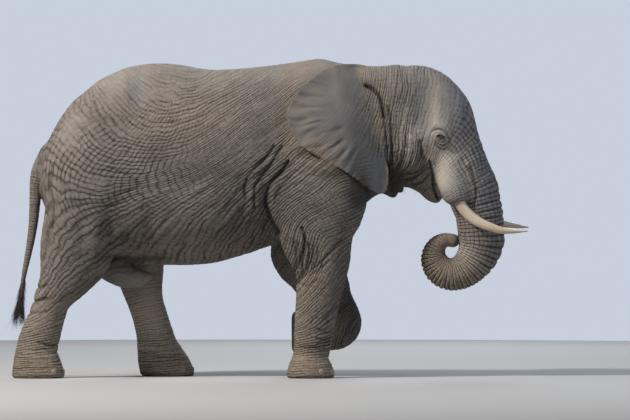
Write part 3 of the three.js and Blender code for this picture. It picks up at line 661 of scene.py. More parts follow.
def normals_of(p, faces):
    """Each corner's normal: the sum of its faces' normals, each the cross product of the third
    corner less the first and the last less the second, made one long."""
    face = np.cross(p[faces[:, 2]] - p[faces[:, 0]], p[faces[:, -1]] - p[faces[:, 1]])
    total = np.zeros_like(p)
    for axis in range(3):
        for corner in range(faces.shape[1]):
            total[:, axis] += np.bincount(faces[:, corner], face[:, axis], len(p))
    return unit(total)


def slope_of(function, p, step=0.002):
    """Slope of a field by differences along each axis."""
    here = function(p)
    return here, np.stack([(function(p + step * axis) - here) / step for axis in np.eye(3)], 1)


def onto_flesh(p, passes=3):
    """Moves places onto the surface along the slope of the field: p - value slope / slope squared."""
    for _ in range(passes):
        here, slope = slope_of(flesh, p)
        p = p - (here / np.maximum((slope**2).sum(1), 0.2))[:, None] * slope
    return p


# ------------------------------------------------------------------ how the folds run
# Seen from the right: x, z, and the angle of the folds up from forward. Angles carry on past 180
# where that keeps neighbours within a quarter turn of each other.
BODY_RUNS = [
    # back and rump
    (-1.8, 2.95, 110), (-1.4, 3.07, 140), (-1.0, 3.07, 165), (-0.3, 3.03, 185), (0.3, 3.1, 200),
    (-2.2, 2.4, 170), (-2.05, 2.5, 125), (-1.95, 2.3, 130), (-1.8, 2.25, 130), (-1.6, 2.25, 128),
    (-2.15, 2.12, 168), (-2.0, 2.05, 152), (-1.85, 2.08, 143), (-1.65, 2.05, 140), (-1.45, 2.05, 142),
    (-2.15, 1.9, 180), (-1.95, 1.86, 178), (-1.75, 1.9, 168), (-1.5, 1.93, 170), (-2.12, 1.68, 203),
    (-1.9, 1.68, 210),
    # hip, down to the bowl of the flank
    (-1.7, 2.72, 100), (-1.65, 2.47, 98), (-1.55, 2.62, 110), (-1.42, 2.72, 118), (-1.3, 2.52, 130),
    (-1.35, 2.27, 138), (-1.15, 2.35, 141), (-0.92, 2.25, 168), (-0.6, 2.32, 195), (-0.3, 2.47, 205),
    (-0.05, 2.59, 212), (-1.2, 2.77, 140), (-0.9, 2.62, 168), (-0.5, 2.77, 190), (-0.2, 2.82, 200),
    (0.1, 2.77, 212),
    # lower flank and belly
    (-1.15, 2.02, 180), (-0.95, 1.92, 207), (-0.7, 1.97, 212), (-1.24, 1.6, 258), (-0.85, 1.6, 254),
    (-0.45, 1.77, 246), (-0.55, 2.12, 213), (-1.25, 1.37, 262), (-0.65, 1.76, 236), (-1.2, 1.22, 260),
    (-0.8, 1.26, 262), (-0.4, 1.31, 256), (-0.12, 1.39, 252), (-1.05, 1.72, 232), (-1.05, 1.45, 262),
    (-0.62, 1.48, 260), (-0.35, 1.6, 256), (-0.38, 1.92, 236),
    # armpit
    (-0.3, 2.12, 230), (-0.15, 1.87, 250), (-0.04, 1.72, 264), (-0.08, 1.52, 260), (-0.2, 2.32, 222),
    (-0.02, 2.17, 238),
    # thigh
    (-1.5, 1.78, 222), (-1.45, 1.66, 238), (-1.6, 1.52, 238), (-1.7, 1.17, 238), (-1.42, 1.42, 250),
    (-2.1, 1.4, 224), (-1.88, 1.47, 232), (-1.85, 0.97, 236), (-2.05, 1.07, 230),
    # shoulder, chest and neck
    (0.2, 2.57, 222), (0.15, 2.27, 238), (0.2, 2.02, 236), (0.15, 1.67, 228), (0.3, 1.82, 230),
    (0.5, 1.92, 243), (0.65, 1.77, 205), (0.8, 1.92, 195), (0.75, 1.52, 197), (0.5, 2.17, 240),
    (0.7, 2.47, 240), (0.8, 2.87, 255),
    # back of the head and cheek
    (1.02, 3.02, 268), (1.15, 2.97, 270), (1.35, 2.92, 270), (1.25, 2.72, 260), (1.35, 2.67, 262),
    (1.25, 2.47, 268), (1.35, 2.27, 272), (1.48, 2.27, 276), (1.45, 2.52, 268), (1.6, 2.92, 265),
    (1.75, 2.67, 262), (1.85, 2.52, 235),
    # face, mouth and the start of the trunk
    (1.9, 2.37, 212), (2.0, 2.17, 205), (2.1, 2.02, 200), (1.8, 2.07, 215), (2.05, 1.82, 195),
    (1.45, 2.05, 215), (1.6, 1.92, 225),
]
LEG_RUNS = {
    RIGHT: [
        (0.31, 1.36, 268), (0.26, 1.2, 272), (0.38, 1.27, 262), (0.45, 1.24, 248), (0.29, 1.06, 262),
        (0.37, 1.1, 240), (0.5, 1.1, 228), (0.62, 1.32, 216), (0.62, 1.6, 194), (0.48, 1.66, 202),
        (0.3, 0.92, 212), (0.5, 0.87, 222), (0.42, 0.62, 230), (0.55, 0.77, 226),
        (0.38, 0.39, 186), (0.48, 0.25, 183), (0.4, 0.09, 180),
        (-2.2, 0.87, 228), (-2.1, 0.77, 225), (-2.25, 0.62, 215), (-2.25, 0.42, 190),
        (-2.3, 0.22, 185), (-2.3, 0.07, 182),
    ],
    LEFT: [
        (0.4, 1.42, 225), (0.35, 1.22, 215), (0.55, 1.07, 208), (0.7, 0.77, 208),
        (0.75, 0.52, 240), (0.6, 0.44, 268), (0.4, 0.44, 270),
        (-1.3, 1.22, 200), (-1.25, 0.97, 196), (-1.2, 0.72, 193), (-1.1, 0.47, 190),
        (-1.05, 0.22, 184),
    ],
}
RUN_REACH = 0.16  # how far each of these is felt
FLOW_CELL = 0.05
FLOW_LOW, FLOW_HIGH = np.array([-2.8, -0.2]), np.array([2.6, 3.5])
FLOW_ROUNDS, FLOW_STEPS = 3, 260
FLOW_MIDDLE = 0.12  # width over which one side's flow gives way to the other's
FLOW_STRETCH = (0.75, 1.35)  # least and most that the wished slopes are stretched
SNOUT = Tube(FACE[:5] + TRUNK)  # the face's front and the trunk as one bent tube
# Tubes with fold coordinates of their own: where along them these begin, over what length they take
# over, and how near the tube's surface.
STRAIGHTENED = ((SNOUT, 0.42, 0.36, 0.05), (TAIL_TUBE, 0.02, 0.22, 0.05))


class Flow:
    """Two smooth coordinates of the side view: one counts across the folds and one along them.
    Each is the height whose slope is nearest to the wished one by least squares, found on a grid
    by conjugate gradients. The wished slopes are then stretched to what was found, and the heights
    found again, so that the folds keep their direction and only their spacing gives way."""

    def __init__(self, runs):
        runs = np.array(runs, float)
        shape = np.ceil((FLOW_HIGH - FLOW_LOW) / FLOW_CELL).astype(int) + 1
        x, z = (FLOW_LOW[:, None, None] + FLOW_CELL * np.indices(shape))[:, :, :, None]
        share = np.exp(-((x - runs[:, 0]) ** 2 + (z - runs[:, 1]) ** 2) / RUN_REACH**2) + 1e-12
        turn = np.radians(runs[:, 2])
        along = np.stack([(share * np.cos(turn)).sum(-1), (share * np.sin(turn)).sum(-1)])
        along /= np.linalg.norm(along, axis=0) + 1e-9
        self.weight = share.sum(-1) / (share.sum(-1) + 0.1) + 0.002
        self.across = self.height(np.stack([-along[1], along[0]]))
        self.along = self.height(along)

    def height(self, wish):
        reach, found = wish, None
        for _ in range(FLOW_ROUNDS):
            found = self.solved(reach, found)
            slope = np.stack(np.gradient(found, FLOW_CELL))
            reach = wish * np.clip((slope * wish).sum(0), *FLOW_STRETCH)
        return found - found.mean()

    def solved(self, slope, start):
        w, h = self.weight, FLOW_CELL
        wx, wz = (w[1:] + w[:-1]) / 2, (w[:, 1:] + w[:, :-1]) / 2

        def gathered(gx, gz):
            out = np.zeros_like(w)
            out[1:] += gx
            out[:-1] -= gx
            out[:, 1:] += gz
            out[:, :-1] -= gz
            return out

        def spread(u):
            return gathered(wx * (u[1:] - u[:-1]), wz * (u[:, 1:] - u[:, :-1]))

        target = gathered(
            wx * h * (slope[0, 1:] + slope[0, :-1]) / 2,
            wz * h * (slope[1, :, 1:] + slope[1, :, :-1]) / 2,
        )
        u = np.zeros_like(w) if start is None else start
        rest = target - spread(u)
        way, size = rest, (rest * rest).sum()
        for _ in range(FLOW_STEPS):
            push = spread(way)
            step = size / max((way * push).sum(), 1e-30)
            u = u + step * way
            rest = rest - step * push
            new = (rest * rest).sum()
            way, size = rest + way * new / max(size, 1e-30), new
        return u

    def at(self, p):
        """Both coordinates at each place, by straight mixing between grid points."""
        place = (p[:, [0, 2]] - FLOW_LOW) / FLOW_CELL
        i, k = np.clip(place.astype(int), 0, np.array(self.across.shape) - 2).T
        s, t = place[:, 0] - i, place[:, 1] - k
        return [
            mix(mix(g[i, k], g[i + 1, k], s), mix(g[i, k + 1], g[i + 1, k + 1], s), t)
            for g in (self.across, self.along)
        ]


def fold_places(p):
    """Fold coordinates of each place: across the folds, along them, and y. They come from each
    side's flow, and run on into the straightened trunk and tail."""
    right, left = (np.stack(Flow(BODY_RUNS + LEG_RUNS[side]).at(p), 1) for side in (RIGHT, LEFT))
    body = np.abs(p[:, 2] - 2.3) < 0.6
    left = left - (left - right)[body].mean(0)
    places = mix(right, left, smooth(p[:, 1] / FLOW_MIDDLE + 0.5)[:, None])
    for tube, start, over, close in STRAIGHTENED:
        near = np.flatnonzero(tube.near(p))
        gap, along, across = tube.followed(p[near])
        share = smooth((along - start) / over) * smooth(1.6 - gap / close)
        own = np.stack([along, across], 1)
        seam = (share * (1 - share))[:, None]
        own += ((places[near] - own) * seam).sum(0) / max(seam.sum(), 1e-9)
        places[near] = mix(places[near], own, share[:, None])
    return np.column_stack([places, p[:, 1]])


# ------------------------------------------------------------------ the relief of the skin
# Soft forms seen from the side: x, z, half width, half height and how far they stand out.
FORMS = [
    (-1.44, 2.86, 0.07, 0.2, 0.02), (-1.31, 2.84, 0.09, 0.15, -0.026),  # hip bone and its hollow
    (-1.3, 1.86, 0.13, 0.2, -0.018), (-1.48, 1.72, 0.06, 0.16, -0.016),  # fold of the flank
    (-1.73, 1.45, 0.07, 0.3, 0.026), (-1.58, 1.38, 0.06, 0.3, -0.034),  # bands of the thigh
    (-1.86, 1.5, 0.05, 0.26, -0.014), (-1.98, 1.45, 0.08, 0.28, 0.012),
    (-1.34, 1.48, 0.1, 0.28, 0.022), (-1.18, 1.45, 0.06, 0.28, -0.012),  # flank beside it
    (-0.16, 1.88, 0.06, 0.3, 0.016), (-0.05, 1.74, 0.045, 0.26, -0.026),  # armpit ridge and valley
    (0.06, 1.78, 0.05, 0.28, 0.014), (-0.26, 1.8, 0.05, 0.28, -0.014),
    (0.28, 1.75, 0.12, 0.3, 0.012), (0.52, 1.55, 0.1, 0.28, -0.01),  # upper arm
    (1.55, 2.87, 0.11, 0.1, -0.026), (1.68, 2.66, 0.05, 0.2, 0.016),  # temple and brow
    (1.84, 2.55, 0.05, 0.26, -0.012), (1.36, 2.64, 0.12, 0.1, 0.014),  # face front, cheek bone
    (1.53, 2.15, 0.07, 0.14, -0.034), (1.6, 2.15, 0.03, 0.04, 0.012),  # hollow before the mouth
    (1.76, 2.0, 0.09, 0.2, 0.012), (1.93, 1.775, 0.11, 0.022, 0.012),  # sheath of the tusk, its lip
]
# Patches where the folds are deep or faint: x, z, half width, half height, strength.
BOLD = [
    (-1.25, 1.85, 0.45, 0.35, 0.25), (-0.45, 1.75, 0.45, 0.4, 0.5), (-0.1, 1.85, 0.3, 0.5, 0.95),
    (-1.65, 1.45, 0.35, 0.45, 0.75), (-2.05, 1.85, 0.25, 0.35, 0.2), (0.33, 1.22, 0.16, 0.24, 0.8),
    (1.36, 2.25, 0.16, 0.34, 1.0), (0.25, 1.95, 0.25, 0.4, 0.45), (-2.25, 0.85, 0.2, 0.2, 0.5),
    (0.48, 0.68, 0.16, 0.22, 0.4), (0.42, 0.33, 0.25, 0.1, 0.6), (-2.28, 0.25, 0.3, 0.16, 0.45),
    (1.25, 2.78, 0.22, 0.25, 0.4), (0.72, 0.6, 0.2, 0.2, 0.4), (-1.12, 0.3, 0.25, 0.2, 0.4),
]
FAINT = [
    (-0.7, 3.14, 1.6, 0.2, 0.75), (-1.55, 2.9, 0.4, 0.22, 0.6), (1.76, 2.78, 0.22, 0.34, 0.8),
    (1.76, 2.0, 0.15, 0.26, 1.0), (-2.36, 1.4, 0.12, 0.6, 0.55), (1.62, 2.64, 0.14, 0.24, 0.6),
    (-1.45, 1.0, 0.24, 0.13, 0.9), (-1.18, 0.7, 0.18, 0.34, 0.6), (0.4, 3.1, 0.5, 0.15, 0.4),
    (0.9, 3.08, 0.25, 0.12, 0.45), (-1.98, 2.48, 0.14, 0.22, 0.7),
]
SHEATH_SKIN = [  # smooth skin over the root of the tusk, seen from the side
    (1.74, 2.08, 0.14, 0.24, 1.1), (1.8, 1.86, 0.13, 0.14, 1.1), (1.68, 2.26, 0.12, 0.12, 0.8),
]
# Patches of pale dust, also painted light where the sun falls on temple, cheek, sheath and far hind leg.
DUST_AND_PAINTED_LIGHT = [
    (1.66, 2.72, 0.12, 0.28, 1.0), (1.74, 2.06, 0.2, 0.32, 2.2), (1.36, 2.32, 0.15, 0.3, 2.0),
    (1.62, 2.4, 0.18, 0.16, 0.6), (-2.0, 2.3, 0.4, 0.4, 0.3), (0.35, 0.95, 0.25, 0.45, 0.8),
    (-2.25, 0.5, 0.35, 0.45, 0.7), (-1.2, 0.5, 0.3, 0.45, 2.0), (0.3, 2.4, 0.12, 0.4, 0.3),
    (1.98, 2.15, 0.14, 0.36, 1.4), (2.1, 1.6, 0.25, 0.3, 0.5), (1.88, 1.12, 0.3, 0.3, 2.0),
    (-1.0, 0.14, 0.28, 0.2, 1.6),
]
# Patches where folds cross at equal depth, patches of brown soil (on the far hind leg also painted
# light), and of bluish grey painted shade.
HATCHED = [
    (-2.05, 2.0, 0.42, 0.32, 0.9), (-1.2, 2.02, 0.45, 0.3, 1.0), (-1.7, 2.45, 0.45, 0.3, 0.6),
    (1.95, 2.25, 0.18, 0.44, 1.6), (0.55, 1.55, 0.2, 0.3, 0.5), (-1.0, 2.45, 0.3, 0.3, 0.4),
]
SOIL_AND_PAINTED_LIGHT = [
    (-2.3, 0.1, 0.4, 0.22, 0.6), (-1.05, 0.1, 0.4, 0.2, 0.6), (0.4, 0.1, 0.35, 0.2, 0.6),
    (-1.2, 0.6, 0.22, 0.5, 0.5), (0.36, 1.0, 0.16, 0.4, 0.45), (1.55, 1.88, 0.09, 0.09, 0.5),
    (-2.25, 0.5, 0.3, 0.4, 0.35), (0.42, 0.4, 0.3, 0.3, 0.3), (1.36, 2.2, 0.15, 0.3, 0.35),
    (-0.9, 2.6, 0.6, 0.3, 0.25), (0.32, 2.6, 0.2, 0.45, 0.6), (-0.6, 1.3, 0.6, 0.15, 0.25),
    (0.85, 2.98, 0.25, 0.14, 0.5), (0.62, 2.2, 0.2, 0.25, 0.45), (1.1, 2.6, 0.06, 0.25, 0.5),
]
# Painted shade: bluish grey on hide turned from the sun, on the face, trunk, ear and in hollows
SHADED = [
    (1.88, 2.62, 0.1, 0.34, 0.8), (2.1, 2.1, 0.16, 0.34, 0.7), (2.2, 1.7, 0.16, 0.24, 0.7),
    (1.53, 2.91, 0.08, 0.13, 0.75), (-1.3, 2.86, 0.09, 0.14, 0.6), (0.7, 2.86, 0.15, 0.15, 0.75),
    (1.06, 2.05, 0.16, 0.26, 0.9), (-1.45, 1.0, 0.22, 0.12, 0.6),
]
UNLIT = [  # hide painted darker, where the ear, the jaw and the legs keep the light off it
    (0.9, 1.86, 0.14, 0.16, 1.3), (0.62, 2.04, 0.15, 0.06, 0.7), (1.25, 1.98, 0.08, 0.17, 1.2),
    (0.36, 2.26, 0.14, 0.05, 0.5), (0.82, 0.75, 0.13, 0.36, 0.6), (-1.3, 1.185, 0.3, 0.035, 0.9),
]
# Grooves: points along the line seen from the side, width, depth, and the side that has them or 0.
GROOVES = [
    ([(1.598, 2.15), (1.612, 2.09), (1.622, 2.025), (1.633, 1.93), (1.665, 1.82), (1.705, 1.745)],
     0.012, 0.032, 0),
    ([(2.04, 1.72), (2.06, 1.86), (2.035, 1.98), (1.99, 2.1)], 0.012, 0.014, 0),
    ([(1.84, 1.735), (1.9, 1.742), (1.97, 1.74), (2.035, 1.722)], 0.01, 0.012, 0),
    ([(1.35, 1.965), (1.42, 1.98), (1.5, 2.015), (1.59, 2.085)], 0.013, 0.02, 0),
    ([(1.38, 2.03), (1.45, 2.04), (1.52, 2.07), (1.585, 2.12)], 0.011, 0.013, 0),
    ([(1.42, 1.915), (1.49, 1.93), (1.55, 1.97), (1.6, 2.04)], 0.012, 0.016, 0),
    ([(1.52, 1.87), (1.57, 1.88), (1.62, 1.9)], 0.01, 0.01, 0),
    ([(1.5, 2.36), (1.51, 2.26), (1.54, 2.17)], 0.016, 0.014, 0),
    ([(0.955, 2.915), (1.04, 2.87), (1.096, 2.8), (1.122, 2.7), (1.135, 2.6)], 0.017, 0.034, 0),
    ([(1.128, 2.66), (1.14, 2.55), (1.152, 2.45), (1.17, 2.26), (1.172, 2.02)], 0.01, 0.018, 0),
    ([(1.17, 2.7), (1.2, 2.6), (1.205, 2.48), (1.215, 2.32), (1.222, 2.12)], 0.012, 0.02, 0),
    ([(0.32, 1.5), (0.35, 1.4), (0.34, 1.29), (0.318, 1.16), (0.318, 1.05), (0.27, 0.955)],
     0.014, 0.026, RIGHT),
    ([(0.248, 1.36), (0.262, 1.25), (0.266, 1.16), (0.245, 1.07)], 0.012, 0.016, RIGHT),
    ([(0.285, 1.34), (0.296, 1.23), (0.292, 1.12), (0.27, 1.03)], 0.011, 0.015, RIGHT),
    ([(0.385, 1.34), (0.39, 1.23), (0.36, 1.11), (0.308, 1.0)], 0.012, 0.016, RIGHT),
    ([(0.43, 1.32), (0.43, 1.21), (0.385, 1.1), (0.296, 0.985)], 0.011, 0.013, RIGHT),
    ([(0.478, 1.31), (0.466, 1.19), (0.405, 1.075)], 0.01, 0.01, RIGHT),
    ([(0.272, 0.965), (0.38, 1.05), (0.525, 1.17), (0.64, 1.3), (0.72, 1.385)], 0.012, 0.014, RIGHT),
    ([(0.4, 1.025), (0.525, 1.11), (0.6, 1.18)], 0.01, 0.009, RIGHT),
    ([(0.3, 0.94), (0.36, 0.92), (0.46, 0.98)], 0.01, 0.008, RIGHT),
    ([(0.47, 0.395), (0.55, 0.385), (0.62, 0.405)], 0.01, 0.013, RIGHT),
    ([(0.3, 0.315), (0.44, 0.3), (0.6, 0.335)], 0.01, 0.013, RIGHT),
    ([(0.46, 0.5), (0.53, 0.47), (0.6, 0.455)], 0.01, 0.01, RIGHT),
    ([(0.047, 2.311), (-0.045, 2.188), (-0.121, 2.112), (-0.213, 2.004), (-0.244, 1.897),
      (-0.235, 1.78)], 0.014, 0.018, 0),
    ([(0.124, 2.311), (0.047, 2.188), (-0.029, 2.066), (-0.121, 1.958), (-0.152, 1.866),
      (-0.15, 1.7)], 0.014, 0.02, 0),
    ([(0.185, 2.158), (0.124, 2.066), (0.03, 1.97), (-0.02, 1.86), (-0.035, 1.76), (-0.016, 1.66),
      (0.02, 1.566), (0.08, 1.446)], 0.017, 0.032, 0),
    ([(0.22, 2.02), (0.14, 1.93), (0.07, 1.84), (0.05, 1.74)], 0.012, 0.012, 0),
    ([(-2.17, 2.12), (-2.19, 1.95), (-2.15, 1.72), (-2.16, 1.5)], 0.012, 0.016, 0),
    ([(-1.28, 1.92), (-1.42, 1.85), (-1.6, 1.78)], 0.01, 0.01, 0),
    ([(-1.27, 1.93), (-1.42, 2.02), (-1.6, 2.1)], 0.01, 0.01, 0),
    ([(-1.27, 1.92), (-1.25, 1.8), (-1.27, 1.66)], 0.01, 0.008, 0),
    ([(-2.4, 0.765), (-2.31, 0.775), (-2.22, 0.8)], 0.014, 0.018, RIGHT),
    ([(-2.4, 0.915), (-2.3, 0.905), (-2.21, 0.93)], 0.012, 0.015, RIGHT),
    ([(-2.42, 0.655), (-2.32, 0.65), (-2.22, 0.67)], 0.012, 0.012, RIGHT),
    ([(-2.3, 0.36), (-2.2, 0.33), (-2.08, 0.33)], 0.012, 0.012, RIGHT),
]
BESIDE = 0.05  # grooves start this far from the middle

EYE_Z = 2.402
# Forms round the eye: how far they stand out, then middle and half size forward, the same upward.
EYELID_FORMS = [
    (0.010, 0.0, 0.060, 0.012, 0.034), (0.007, -0.010, 0.100, 0.112, 0.026),
    (0.010, -0.010, 0.075, -0.060, 0.040), (-0.022, 0.078, 0.022, -0.005, 0.050),
]
EYE_TILT = 0.16  # how much the eye's length rises forwards
EYELID_EDGE = {"out": 0.0050, "at": 0.0045, "half": 0.0035}
BALL_SUNK = 0.026  # how deep the opening is pushed in round the ball
# Folds in arcs round the eye: height over (+) or under (-) it, width, depth and half length.
EYELID_ARCS = [
    (0.034, 0.005, 0.004, 0.052), (0.074, 0.009, 0.012, 0.082), (-0.031, 0.005, 0.0045, 0.052),
    (-0.052, 0.0065, 0.008, 0.066), (-0.083, 0.008, 0.0085, 0.084), (-0.122, 0.0095, 0.007, 0.1),
]
OPENING = (0.041, 0.0185)  # half length and half height of the open eye
EAR_FOCUS = (1.10, 2.68)  # where the ear's ribs and valleys fan out from
EAR_RIBS = {"high": 0.0080, "turns": 44, "from": 0.40, "over": 0.35}
EAR_ROLL, EAR_SWELL = 0.018, {"high": 0.014, "wide": 0.24}  # width of the rolled rim, slow swells
EAR_VALLEYS = [  # angle about the focus, half angle, from, to, depth
    (206, 3.4, 0.36, 0.62, 0.013), (221, 2.4, 0.42, 0.95, 0.011), (231, 2.2, 0.45, 0.95, 0.013),
    (239, 2.2, 0.4, 0.95, 0.012), (247, 2.0, 0.45, 0.95, 0.011), (213, 2.2, 0.62, 1.0, 0.012),
    (197, 2.6, 0.6, 1.0, 0.011), (189, 2.4, 0.68, 1.0, 0.01), (180, 2.6, 0.66, 1.0, 0.011),
    (171, 2.4, 0.66, 1.0, 0.01), (163, 2.6, 0.62, 0.95, 0.008), (255, 2.0, 0.5, 0.9, 0.008),
]
# Creases of the relief: share of the broken ones, their size across and along, share of the nearly
# parallel ones, their spacing, and a seed.
LARGE_FOLDS = (0.55, 0.085, 0.42, 0.75, 0.078, 1)
SMALL_FOLDS = (0.50, 0.055, 0.24, 0.60, 0.050, 3)
RING_STEP = {"upper": 0.040, "curl": 0.028, "from": 1.25, "over": 0.40}  # between the trunk's rings


def to_line(x, z, points):
    """Distance in the side view to the smooth line through the points."""
    line = sampled(points, 4)
    best = np.full(len(x), FAR)
    for a, b in zip(line[:-1], line[1:]):
        np.minimum(best, to_stretch(x, z, a, b), out=best)
    return best


def grooves(p):
    """Depth of the drawn grooves, each a bell curve of the distance to its line."""
    depth = np.zeros(len(p))
    for points, width, deep, side in GROOVES:
        d = to_line(p[:, 0], p[:, 2], points)
        on_side = p[:, 1] * side > 0 if side else np.abs(p[:, 1]) > BESIDE
        depth = np.maximum(depth, deep * bell(d / width) * on_side)
    return depth


def ridged(places, across, along, seed, sharp=0.16):
    """Creases where stretched noise passes 0: exp(-(noise / sharp) squared), 1 in a crease."""
    return bell(noise(places / (across, along, along), seed) / sharp)


def lined(phase, seed, places, wander=1.1):
    """Nearly parallel creases: 1 where the phase, bent by slow noise, is whole, falling off as
    (1 - |sin|) cubed."""
    bend = wander * noise(places / (0.30, 0.55, 0.55), seed)
    return crest(phase + bend) ** 3


def creases(places, broken, across, along, even, spacing, seed):
    """Broken creases and nearly parallel ones, each times its share."""
    parallel = lined(places[:, 0] / spacing, seed + 1, places)
    return broken * ridged(places, across, along, seed) + even * parallel


def eyelids(p, side):
    """Relief round one eye, from x and z beside it: a low lid under a brow, a lens-shaped opening
    pushed in round the ball, a thickened edge, a hollow in front, and folds in arcs that meet in
    front. Returns the move, the folds' share and the share of dark bare skin."""
    a, b = p[:, 0] - EYE_X, p[:, 2] - EYE_Z
    a, b = a + EYE_TILT * b, b + EYE_TILT * a
    long, tall = OPENING
    forms = sum(
        out * bell((a - ahead) / half, (b - over) / half_tall)
        for out, ahead, half, over, half_tall in EYELID_FORMS
    )
    slit = np.abs(b) - tall * np.maximum(1 - (a / long) ** 2, 0)
    bare = smooth(0.5 - slit / 0.004) * (np.abs(a) < long)
    edge = EYELID_EDGE
    rim = edge["out"] * bell((slit - edge["at"]) / edge["half"]) * blunt_bell(a / (1.15 * long))
    arcs, depth = np.zeros(len(p)), np.zeros(len(p))
    for far, width, deep, half in EYELID_ARCS:
        centre_line = far * (1 - (0.85 if far < 0 else 0.60) * (a / half) ** 2)
        share = bell((b - centre_line) / width) * blunt_bell(a / half)
        depth += deep * share
        arcs = np.maximum(arcs, share)
    beside = (p[:, 1] * side > 0.1).astype(float)
    near = 0.55 * bell(np.maximum(slit, 0) / 0.009) * blunt_bell(a / (1.3 * long))
    bare = np.maximum(bare, near)
    move = forms + rim - BALL_SUNK * smooth(2 * bare - 1) - depth
    return move * beside, arcs * beside, bare * beside


def ear_relief(ear, p):
    """How far the ear's sheet bends outward at each place: fine ribs that fan out from the focus,
    deeper valleys, slow swells and a slightly rolled rim; with the shares of its rim and valleys."""
    x, z = ear.pattern(p)
    dx, dz = x - EAR_FOCUS[0], z - EAR_FOCUS[1]
    far, turn = np.hypot(dx, dz), np.degrees(np.arctan2(dz, dx)) % 360
    wander = noise(np.column_stack([far / 0.22, turn / 9, 0 * far]), 21 + ear.side)
    r = EAR_RIBS
    ribs = r["high"] * np.sin(np.radians(turn) * r["turns"] + 6 * wander)
    ribs = ribs * smooth((far - r["from"]) / r["over"])
    wavy = turn + 2.2 * noise(np.column_stack([far / 0.15, turn / 30, 0 * far]), 3)
    valleys = sum(
        deep * bell((wavy - at) / half) * smooth((far - start) / 0.12)
        * smooth((end - far) / 0.16)
        for at, half, start, end, deep in EAR_VALLEYS
    )
    inside = ear.within(x, z)
    rim = bell(inside / EAR_ROLL)
    swell = EAR_SWELL["high"] * noise(np.column_stack([x, 0 * x, z]) / EAR_SWELL["wide"], 5)
    return ribs * (0.7 + wander) - 1.5 * valleys + 0.006 * rim + swell, rim, valleys / 0.016


def ear_marks(p):
    """Share of ear, bend of its sheet, and shares of rim and valley at each place."""
    marks = np.zeros((4, len(p)))
    for ear in EARS:
        near = np.flatnonzero(ear.near(p))
        there = p[near]
        gap = flesh(there, ears=False)
        share = smooth(1.5 - ear(there) / 0.012) * smooth(gap / 0.06 - 0.1)
        bend, rim, valley = ear_relief(ear, there)
        found = np.stack([share, share * bend * ear.side, share * rim, share * valley])
        better = share > marks[0, near]
        marks[:, near[better]] = found[:, better]
    return marks


def trunk_marks(p):
    """Share of trunk, how far each place is on its outer side, its share of the curl and of the
    tip, and the phase of the rings, which are closer together in the curl."""
    marks = np.zeros((5, len(p)))
    near = np.flatnonzero(SNOUT.near(p))
    gap, along, across = SNOUT.followed(p[near])
    at = np.linspace(0, along.max(), 400)
    curl = smooth((at - RING_STEP["from"]) / RING_STEP["over"])
    step = mix(RING_STEP["upper"], RING_STEP["curl"], curl)
    phase = np.concatenate([[0], np.cumsum(np.diff(at) / step[1:])])
    smooth_sheath = 1 - np.clip(patches(p[near], SHEATH_SKIN), 0, 1)
    marks[0, near] = smooth((along - 0.50) / 0.40) * smooth(1.6 - gap / 0.04) * smooth_sheath
    marks[1, near] = smooth(0.5 - across / 0.20)
    marks[2, near] = smooth((along - 1.25) / 0.55)
    marks[3, near] = smooth((along - 1.95) / 0.25)
    marks[4, near] = np.interp(along, at, phase)
    return marks


def worked(p, normal, sizes):
    """Moves the bare surface to its finished relief and returns it with the fold coordinates and
    the marks that the finish reads."""
    places = fold_places(p)
    bold = np.clip(0.20 + patches(p, BOLD), 0, 1.15)
    faint = np.clip(patches(p, FAINT), 0, 0.9)
    ear, ear_bend, rim, valley = ear_marks(p)
    trunk, outer, curl, tip, rings = trunk_marks(p)

    folds, small = creases(places, *LARGE_FOLDS), creases(places, *SMALL_FOLDS)
    open_skin = (1 - faint) * (1 - ear) * (1 - trunk) * smooth(p[:, 2] / 0.06)
    crease = bold * open_skin * (0.8 + 0.8 * noise(p / 0.35, 7))
    move = -sizes.fold_depth * (crease * folds + 0.30 * open_skin * small)

    bent = rings + 0.15 * noise(p / 0.2, 8)
    ring = mix(crest(bent / 2), crest(bent), curl * outer) ** 2
    ring_share = trunk * (1 - 0.8 * tip) * (0.25 + 0.75 * outer) * (1 + 0.3 * curl * outer)
    move -= sizes.ring_depth * ring_share * ring
    cut = grooves(p) * (1 - ear)
    move += patches(p, FORMS) * (1 - ear) - cut
    arcs, bare = np.zeros(len(p)), np.zeros(len(p))
    for side in SIDES.values():
        bulge, lines, wet = eyelids(p, side)
        move += bulge
        arcs += lines
        bare = np.maximum(bare, wet)
    done = p + normal * move[:, None]
    done[:, 1] += ear_bend
    done[:, 2] = np.maximum(done[:, 2], 0)

    dark = 0.45 * crease * folds + cut / 0.022 + 0.8 * arcs + 0.6 * ring_share * ring + 0.25 * valley
    unlit = np.clip(patches(p, UNLIT) * (1 - ear), 0, 1)
    marks = {
        # crease: dark of the folds, plus painted shade where the ear, jaw and legs keep the light off
        "crease": np.clip(dark + unlit, 0, 1) + 0.35 * unlit,
        "wrinkle": np.clip((0.62 + 0.38 * bold) * (1 - 0.85 * faint) * (1 - 0.85 * ear), 0, 1),
        "ear": ear,
        "rim": rim,
        "lid": bare,
        "trunk": trunk,
        "rings": rings,
        "curl": curl * trunk,
        "tip": tip,
        # earth: brown soil, and on the far hind leg painted light as well
        "earth": np.clip(patches(p, SOIL_AND_PAINTED_LIGHT), 0, 0.8),
        # shade: painted shade, in bluish grey
        "shade": np.clip(patches(p, SHADED), 0, 1) * (1 - curl),
        # dust: dust on upward faces and painted light from above, paler the more a face looks up
        "dust": np.clip(0.11 + 0.62 * normal[:, 2] + patches(p, DUST_AND_PAINTED_LIGHT), 0, 2),
        "hatch": np.clip(0.25 + patches(p, HATCHED), 0, 1.5),
    }
    return done, places, marks


